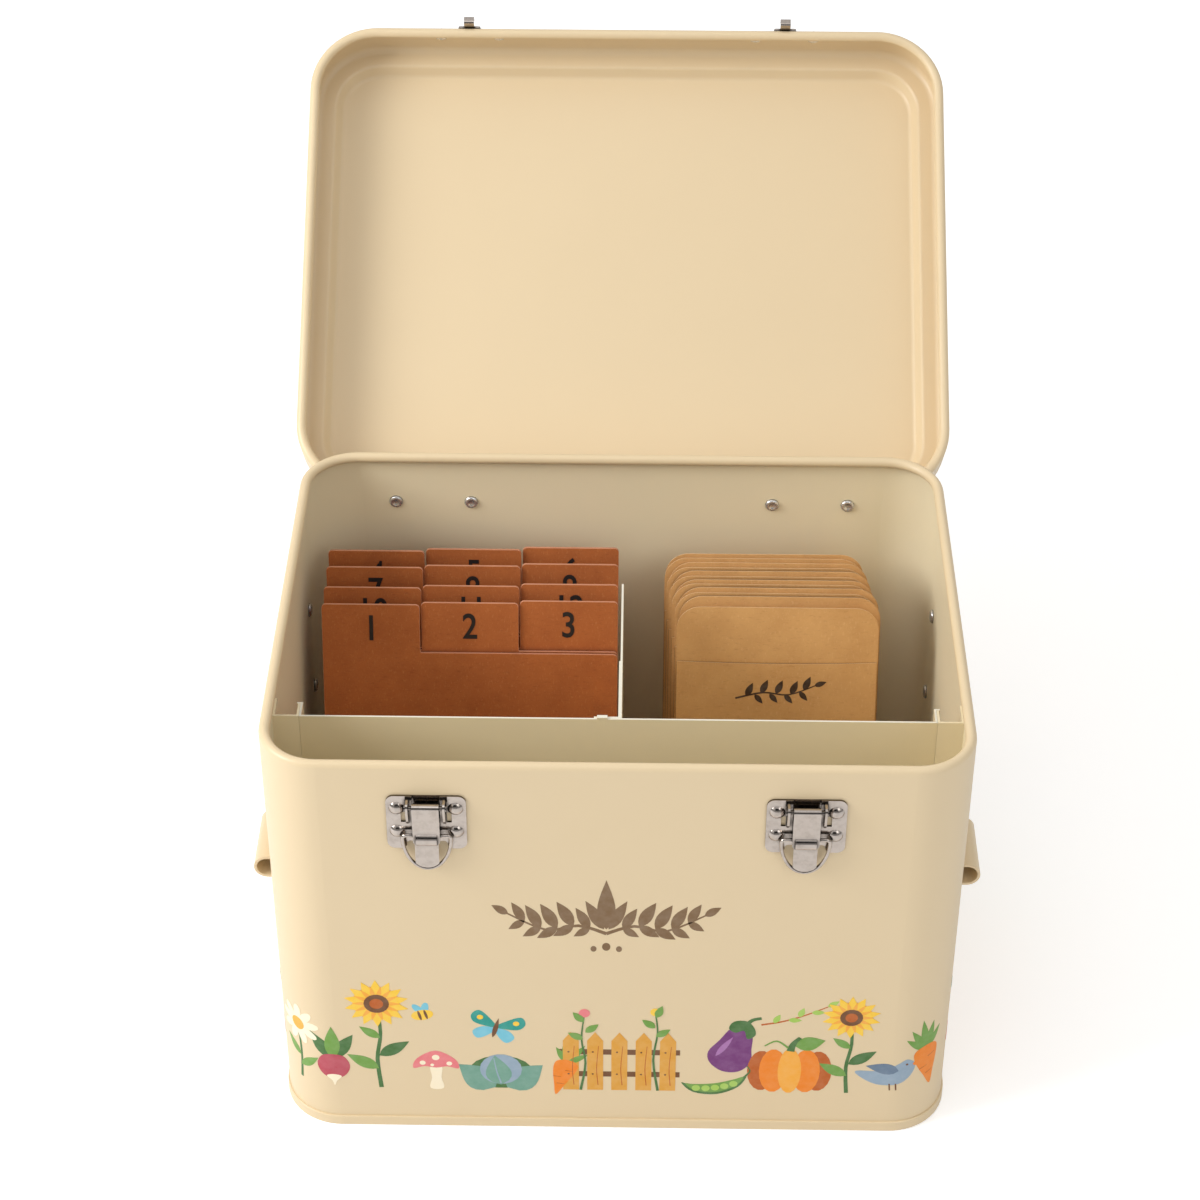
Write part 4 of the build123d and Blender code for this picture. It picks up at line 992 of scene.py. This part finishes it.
def pea_pod():
    peas = [("lime", disc(-10 + 5 * k, 6.4 + 0.34 * (k - 2) ** 2, 4.4)) for k in range(5)]
    return [("moss green", blob((-17, 13), (-12, 5), (0, 1.4), (12, 5), (18, 13), (12, 10.5),
                                (0, 8.4), (-12, 10.5))),
            ("leaf green", blob((-15, 12), (-11, 6.2), (0, 3), (11, 6.2), (16, 12), (10, 10.8),
                                (0, 9.6), (-11, 10.8)))
            ] + peas + [("moss green", stem([(17, 12.4), (20, 16), (19, 20)], 1.1, 0.5))]


def sunflower():
    rays = [("yellow", leaf(0, 52, 14, 5.0, 360 * k / 14, 0.9)) for k in range(14)]
    rays += [("amber", leaf(0, 52, 10.5, 2.2, 360 * (k + 0.5) / 14, 0.9)) for k in range(14)]
    return [("moss green", stem([(0, 0), (-1, 18), (1, 34), (0, 52)], 2.0, 1.4)),
            ("leaf green", leaf(-0.6, 12, 16, 6.5, -58)), ("moss green", leaf(0, 20, 16, 6.5, 56)),
            ("leaf green", leaf(0.6, 31, 11, 4.5, -52))] + rays + [
                ("brown", disc(0, 52, 11)), ("rust", disc(0, 52, 6))]


def toadstool():
    spots = [("cream white", disc(x, y, d))
             for x, y, d in ((-7, 19, 3.2), (0, 23, 4), (7, 18.6, 3), (-2, 17.4, 2))]
    return [("cream white", blob((-3.4, 0), (3.6, 0), (2.6, 8), (3, 16), (-3, 16), (-2.4, 8))),
            ("pink", blob((-12, 15), (-6, 16.4), (0, 15.4), (6, 16.4), (12, 15), (10, 22), (0, 28),
                          (-10, 22)))] + spots


def butterfly():
    return [("teal", blob((0, 10), (4, 15), (10, 19), (13, 15), (10, 10.5))),
            ("teal", blob((0, 10), (-4, 15), (-10, 19), (-13, 15), (-10, 10.5))),
            ("sky", blob((0, 9), (6, 9), (10, 5), (7, 1), (2.6, 4))),
            ("sky", blob((0, 9), (-6, 9), (-10, 5), (-7, 1), (-2.6, 4))),
            ("yellow", disc(8.6, 14.6, 3)), ("yellow", disc(-8.6, 14.6, 3)),
            ("brown", leaf(0, 3, 13, 2.4, 0))]


def pumpkin():
    lobes = ([("rust", disc(x, 13, 12, 24)) for x in (-12, 12)]
             + [("orange", disc(x, 13, 12, 26)) for x in (-7, 7)])
    return lobes + [("amber", disc(0, 13, 10, 27)),
                    ("moss green", stem([(0, 25), (1, 29), (4, 33)], 3.4, 2.0)),
                    ("leaf green", leaf(2, 28, 13, 8, 74)),
                    ("leaf green", stem([(-1, 27), (-6, 31), (-11, 28)], 0.9, 0.5))]


def picket_fence():
    rails = [("brown", [(-25, y), (25, y), (25, y + 3), (-25, y + 3)]) for y in (8, 21)]
    pales = [("wood", [(x - 3.3, 0), (x + 3.3, 0), (x + 3.3, 29), (x, 34), (x - 3.3, 29)])
             for x in range(-20, 21, 10)]
    grain = [("rust", stem([(x + 1.2, 3), (x + 0.6, 13), (x + 1.4, 26)], 0.4, 0.25))
             for x in range(-20, 21, 10)]
    nails = [("brown", disc(x - 1, y + 1.5, 0.9, steps=8)) for x in range(-20, 21, 10)
             for y in (8, 21)]
    climbing = [("leaf green", leaf(x, y, 7, 3.4, a)) for x, y, a in (
        (-15, 30, -60), (-14, 34, 50), (-14.6, 40, -40), (15, 32, 55), (14.6, 37, -50),
        (15, 43, 20))]
    return rails + pales + grain + nails + [
        ("moss green", stem([(-16, 0), (-14, 16), (-15.6, 30), (-14.4, 44)], 1.1, 0.5)),
        ("moss green", stem([(16, 0), (14, 18), (15.6, 34), (14.6, 45)], 1.1, 0.5)),
        ("pink", disc(-14.4, 45, 4.6)), ("yellow", disc(14.6, 46, 4.2))] + climbing


def cabbage():
    return [("moss green", disc(0, 12, 32, 23)), ("grey green", leaf(-3, 1, 24, 17, -48, 0.7)),
            ("grey green", leaf(3, 1, 24, 17, 48, 0.7)), ("sky grey", disc(0, 14, 21, 21)),
            ("grey green", leaf(0, 3, 21, 13, -8, 0.7)),
            ("sky grey", stem([(0, 4), (-2, 12), (-3.4, 22)], 0.9, 0.4))]


def bird():
    return [("sky grey", blob((-14, 9), (-6, 4), (4, 4), (10, 9), (12, 16), (8, 20), (3, 17),
                              (-4, 13), (-16, 13))),
            ("slate", leaf(4, 13, 16, 7, -78, 0.7)),
            ("orange", leaf(10.6, 16.6, 5.4, 2.6, 96, 0.6)),
            ("brown", disc(7.8, 16.8, 1.3, steps=8)), ("brown", stem([(0, 4.4), (0.4, 0)], 0.7)),
            ("brown", stem([(3, 4.4), (3.4, 0)], 0.7))]


def daisy():
    rays = [("cream white", disc(7 * math.sin(a), 34 + 7 * math.cos(a), 4.4, 9, math.degrees(a),
                                 12))
            for a in (2 * math.pi * k / 9 for k in range(9))]
    return [("moss green", stem([(0, 0), (1, 16), (0, 34)], 1.4, 1.0)),
            ("leaf green", leaf(0.4, 8, 13, 4.4, 48)),
            ("leaf green", leaf(0.6, 14, 12, 4.2, -46))] + rays + [("amber", disc(0, 34, 7.4))]


def bee():
    return [("sky", disc(-1, 8.4, 3.4, 7, -24, 12)), ("sky", disc(2.2, 8.2, 3.4, 7, 24, 12)),
            ("yellow", disc(0, 4.4, 10, 6.2)), ("brown", disc(-1.2, 4.4, 1.3, 6)),
            ("brown", disc(1.6, 4.4, 1.3, 5.8))]


def twig():
    return [("rust", stem([(-18, 2), (-6, 4), (6, 8), (19, 14)], 1.2, 0.6))] + [
        ("lime", leaf(x, y, 7.4, 3.6, a))
        for x, y, a in ((-11, 3, 30), (-3, 5, 96), (3, 7, 24), (10, 10, 92), (19, 14, 58))]


print(sum(len(m()) for m in (carrot, radish, aubergine, pea_pod, sunflower, toadstool, butterfly,
                             pumpkin, picket_fence, cabbage, bird, daisy, bee, twig)),
      "shapes in the motifs")

# %% [markdown]
# The printed band runs round the body. Its place is counted in millimetres
# along the wall, from the middle of the front to the right. Flat shapes are
# cut finely where they cross a corner, so that they follow its round.

# %% Bend a shape onto the wall
ARC = CORNER_R * math.pi / 2
HALF_ROUND = 2 * STRAIGHT_X + 2 * STRAIGHT_Y + 2 * ARC
CORNER_CUT = 2.0         # mm between the cuts round a corner
INK_LOW, INK_TOP, INK_LAYER = 0.01, 0.06, 0.03
CORNER_STARTS = (STRAIGHT_X, STRAIGHT_X + ARC + 2 * STRAIGHT_Y)


def wall_point(s, z, proud):
    """The place s mm along the wall and z mm up, `proud` mm off the paint."""
    side, s = (1 if s >= 0 else -1), abs(s)
    r, first, second = CORNER_R + proud, CORNER_STARTS[0], CORNER_STARTS[1]
    if s <= first:
        x, y = s, -STRAIGHT_Y - r
    elif s <= first + ARC:
        a = (s - first) / CORNER_R
        x, y = STRAIGHT_X + r * math.sin(a), -STRAIGHT_Y - r * math.cos(a)
    elif s <= second:
        x, y = STRAIGHT_X + r, -STRAIGHT_Y + s - first - ARC
    elif s <= second + ARC:
        a = (s - second) / CORNER_R
        x, y = STRAIGHT_X + r * math.cos(a), STRAIGHT_Y + r * math.sin(a)
    else:
        x, y = STRAIGHT_X - (s - second - ARC), STRAIGHT_Y + r
    return Vector((side * x, y, z)) * MM


def print_shape(store, colour, outline, layer, place):
    """Adds one closed shape of ink to the store {colour: (points, faces)}."""
    flat = bmesh.new()
    flat.faces.new([flat.verts.new((u, v, 0)) for u, v in outline])
    low, high = min(u for u, _ in outline), max(u for u, _ in outline)
    if place is wall_point:
        for start in CORNER_STARTS:
            for side in (1, -1):
                for k in range(int(ARC / CORNER_CUT) + 2):
                    at = side * (start + min(ARC, CORNER_CUT * k))
                    if low < at < high:
                        cut_across(flat, 0, at)
    thicken(flat, INK_LOW, INK_TOP + INK_LAYER * layer)
    points, faces = store.setdefault(colour, ([], []))
    first = len(points)
    flat.verts.index_update()
    points.extend(place(*v.co) for v in flat.verts)
    faces.extend([first + v.index for v in f.verts] for f in flat.faces)
    flat.free()


print("half way round the wall, mm:", round(HALF_ROUND, 1))

# %% [markdown]
# Printed ink lies a little unevenly on enamel, so its group mixes a paler tone
# into each colour in soft patches. All colours share the group, and one object
# holds all that is printed in one colour.

# %% Inks
INKS = {
    "orange": (238, 132, 34), "amber": (244, 170, 62), "rust": (186, 92, 30),
    "yellow": (248, 202, 66), "rose": (184, 74, 88), "pink": (230, 124, 128),
    "purple": (116, 56, 118), "lilac": (166, 110, 170), "moss green": (70, 112, 58),
    "leaf green": (112, 156, 70), "lime": (166, 200, 92), "grey green": (112, 158, 140),
    "teal": (40, 150, 138), "sky": (118, 194, 214), "sky grey": (146, 166, 184),
    "slate": (104, 124, 146), "wood": (220, 158, 62), "brown": (112, 72, 42),
    "cream white": (250, 236, 206), "sepia": (126, 98, 68), "dark sepia": (62, 44, 30),
}

WORN_PALER, INK_MOTTLE = 0.35, 0.3
printed, given, gout = new_group(
    "printed_ink", {"Colour": (0.5, 0.5, 0.5, 1.0), "Worn colour": (0.6, 0.6, 0.6, 1.0),
                    "Mottle": 0.35}, LOOK)
place = own_place(printed)
soft = range_map(printed, noise(printed, place, 240.0, 4.0, 0.6), 0.35, 0.75)
patches = math_node(printed, "MULTIPLY", soft, given["Mottle"], clamp=True)
put_out(printed, gout, Height=noise(printed, place, 2600.0, 2.0, 0.5),
        Colour=mix_colour(printed, patches, given["Colour"], given["Worn colour"]),
        Roughness=range_map(printed, soft, 0.0, 1.0, 0.4, 0.52))


def ink_of(colour):
    name = "ink_" + colour.replace(" ", "_")
    if name in bpy.data.materials:
        return bpy.data.materials[name]
    rgb = INKS[colour]
    lighter = tuple(v + (255 - v) * WORN_PALER for v in rgb)
    return finish(
        name, printed,
        {"Colour": srgb(*rgb), "Worn colour": srgb(*lighter), "Mottle": INK_MOTTLE},
        0.05, 0.0001, Specular_IOR_Level=0.25)


def lay_ink(store, prefix, body):
    """One object for each colour of the store, riding on `body`."""
    for colour, (points, faces) in store.items():
        mesh = bpy.data.meshes.new(prefix + "_" + colour.replace(" ", "_"))
        mesh.from_pydata(points, [], faces)
        mesh.materials.append(ink_of(colour))
        piece = spawn(mesh.name, mesh)
        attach(piece, body)


print("inks:", len(INKS))

# %% [markdown]
# The motifs stand side by side on an unseen line, as printed borders do. The front is laid out one
# by one. The sides and the rear repeat a shorter row.

# %% Print the border
BORDER_FOOT = 24.0
FRONT_ROW = [
    # motif, s, height above the line, size, turn
    (daisy, -143, 0, 1.0, 0), (radish, -126, 1, 1.0, 0), (sunflower, -105, 0, 1.02, 0),
    (toadstool, -80, 0, 0.85, 0), (bee, -84, 42, 1.0, -14), (cabbage, -51, 0, 0.9, 0),
    (butterfly, -55, 30, 0.95, 14), (carrot, -27, -3, 0.8, 16), (picket_fence, 2, 0, 1.08, 0),
    (pea_pod, 46, -3, 0.85, -10), (aubergine, 45, 14, 0.95, 28), (pumpkin, 78, 0, 1.05, 0),
    (twig, 79, 42, 0.8, -4), (sunflower, 104, 0, 0.92, 0), (bird, 123, 2, 0.95, 0),
    (carrot, 143, 0, 0.95, -8),
]
SIDE_ROW = [
    (toadstool, 14, 0, 0.95, 0), (butterfly, 16, 38, 0.8, -12), (pumpkin, 42, 0, 1.0, 0),
    (radish, 68, 0, 0.95, 0), (picket_fence, 102, 0, 0.95, 0), (daisy, 134, 0, 0.95, 0),
    (cabbage, 158, 0, 0.95, 0), (bee, 158, 36, 0.9, 12), (carrot, 184, 0, 0.95, 10),
    (aubergine, 203, 0, 0.9, 0),
]
SIDE_FROM = 156          # mm along the wall, where a side's row starts
REAR_FROM = CORNER_STARTS[1] + ARC - 24
REAR_CLOSER, REAR_SIZE = 0.66, 0.95
LAYER_TURN, LAYER_COLOUR, LAYER_SHAPE = 0.35, 0.6, 0.1
layout = list(FRONT_ROW)
for side in (1, -1):
    layout += [(m, side * (SIDE_FROM + s), up, size, side * turn)
               for m, s, up, size, turn in SIDE_ROW]
    layout += [(m, side * (REAR_FROM + s * REAR_CLOSER), up, size * REAR_SIZE, turn)
               for m, s, up, size, turn in SIDE_ROW[1:9] if m is not bee]
    layout.append((toadstool, side * (HALF_ROUND - 25), 0, 0.9, 0))
layout.append((sunflower, HALF_ROUND, 0, 0.85, 0))

border = {}
for k, (motif, s, up, size, turn) in enumerate(layout):
    # neighbours and colours lie on layers of their own, so no two share a face
    layer, last = LAYER_TURN * (k % 2), None
    for colour, outline in motif():
        layer, last = layer + (LAYER_COLOUR if colour != last else LAYER_SHAPE), colour
        scaled = [(u * size, v * size) for u, v in outline]
        print_shape(border, colour, turned(scaled, s, BORDER_FOOT + up, turn), layer, wall_point)
lay_ink(border, "border", "box")
print(len(layout), "motifs in", len(border), "colours,", sum(len(f) for _, f in border.values()),
      "faces")

# %% [markdown]
# A soft brown ornament of leaves sits over the border on the front. Two
# mirrored sprays of leaves and a bud between them are drawn once.

# %% Print the front ornament
def spray(side):
    line = [(0, 0), (side * 12, 3.5), (side * 26, 1.5), (side * 43, 9)]
    shapes = [stem(line, 1.5, 0.6)]
    for x, y, up, down in ((7, 2.4, 11, 8), (14, 3.4, 13, 10), (21, 2.4, 13, 10), (28, 2.6, 12, 9),
                           (35, 5.4, 10, 8)):
        shapes.append(leaf(side * x, y, up, up * 0.42, side * 34))
        shapes.append(leaf(side * x, y, down, down * 0.42, side * 118))
    shapes.append(leaf(side * 42, 8.6, 8, 3.4, side * 62))
    return shapes


ORNAMENT_MIDDLE = (-4.0, 121.0)
ORNAMENT_STRETCH = 1.3
ornament = {}
shapes = spray(1) + spray(-1) + [
    leaf(0, 2, 22, 8, 0, 0.7), leaf(-1, 2, 15, 5.4, -32), leaf(1, 2, 15, 5.4, 32),
    disc(0, -6, 3.6), disc(-5.5, -7, 2.6), disc(5.5, -7, 2.6)]
for k, outline in enumerate(shapes):
    taller = [(u, v * ORNAMENT_STRETCH) for u, v in outline]
    print_shape(ornament, "sepia", turned(taller, *ORNAMENT_MIDDLE, 0), 0.15 * (k % 5), wall_point)
lay_ink(ornament, "ornament", "box")
print(len(shapes), "shapes in the ornament")

# %% [markdown]
# Each envelope carries the same small printed sprig on its pocket.

# %% Print the envelopes
SPRIG_MIDDLE = (ENV_W / 2, 134.0)
SPRIG = ([stem([(-19, -3), (-6, 0), (6, -1), (19, 4)], 0.9, 0.5)]
         + [leaf(x, y, 7.5, 3.2, 24)
            for x, y in ((-14, -2), (-7, -0.4), (0, -0.6), (7, -0.8), (13, 1.4))]
         + [leaf(x, y, 6, 2.6, 140) for x, y in ((-10, -1), (-3, -0.6), (4, -0.8), (11, 0.6))]
         + [leaf(18, 3.6, 6, 2.6, 70)])
for i, to_place in enumerate(envelope_spots):
    def on_pocket(u, v, proud, to_place=to_place):
        return to_place @ Vector((u, v, PAPER + belly((u / ENV_W - 0.5) * 2, v / POCKET_H) + proud))
    sprig = {}
    for k, outline in enumerate(SPRIG):
        print_shape(sprig, "dark sepia", turned(outline, *SPRIG_MIDDLE, 0), 0.2 * (k % 3),
                    on_pocket)
    lay_ink(sprig, "sprig_%02d" % (i + 1), "env_%02d" % (i + 1))
print("sprigs on", len(envelope_spots), "envelopes")
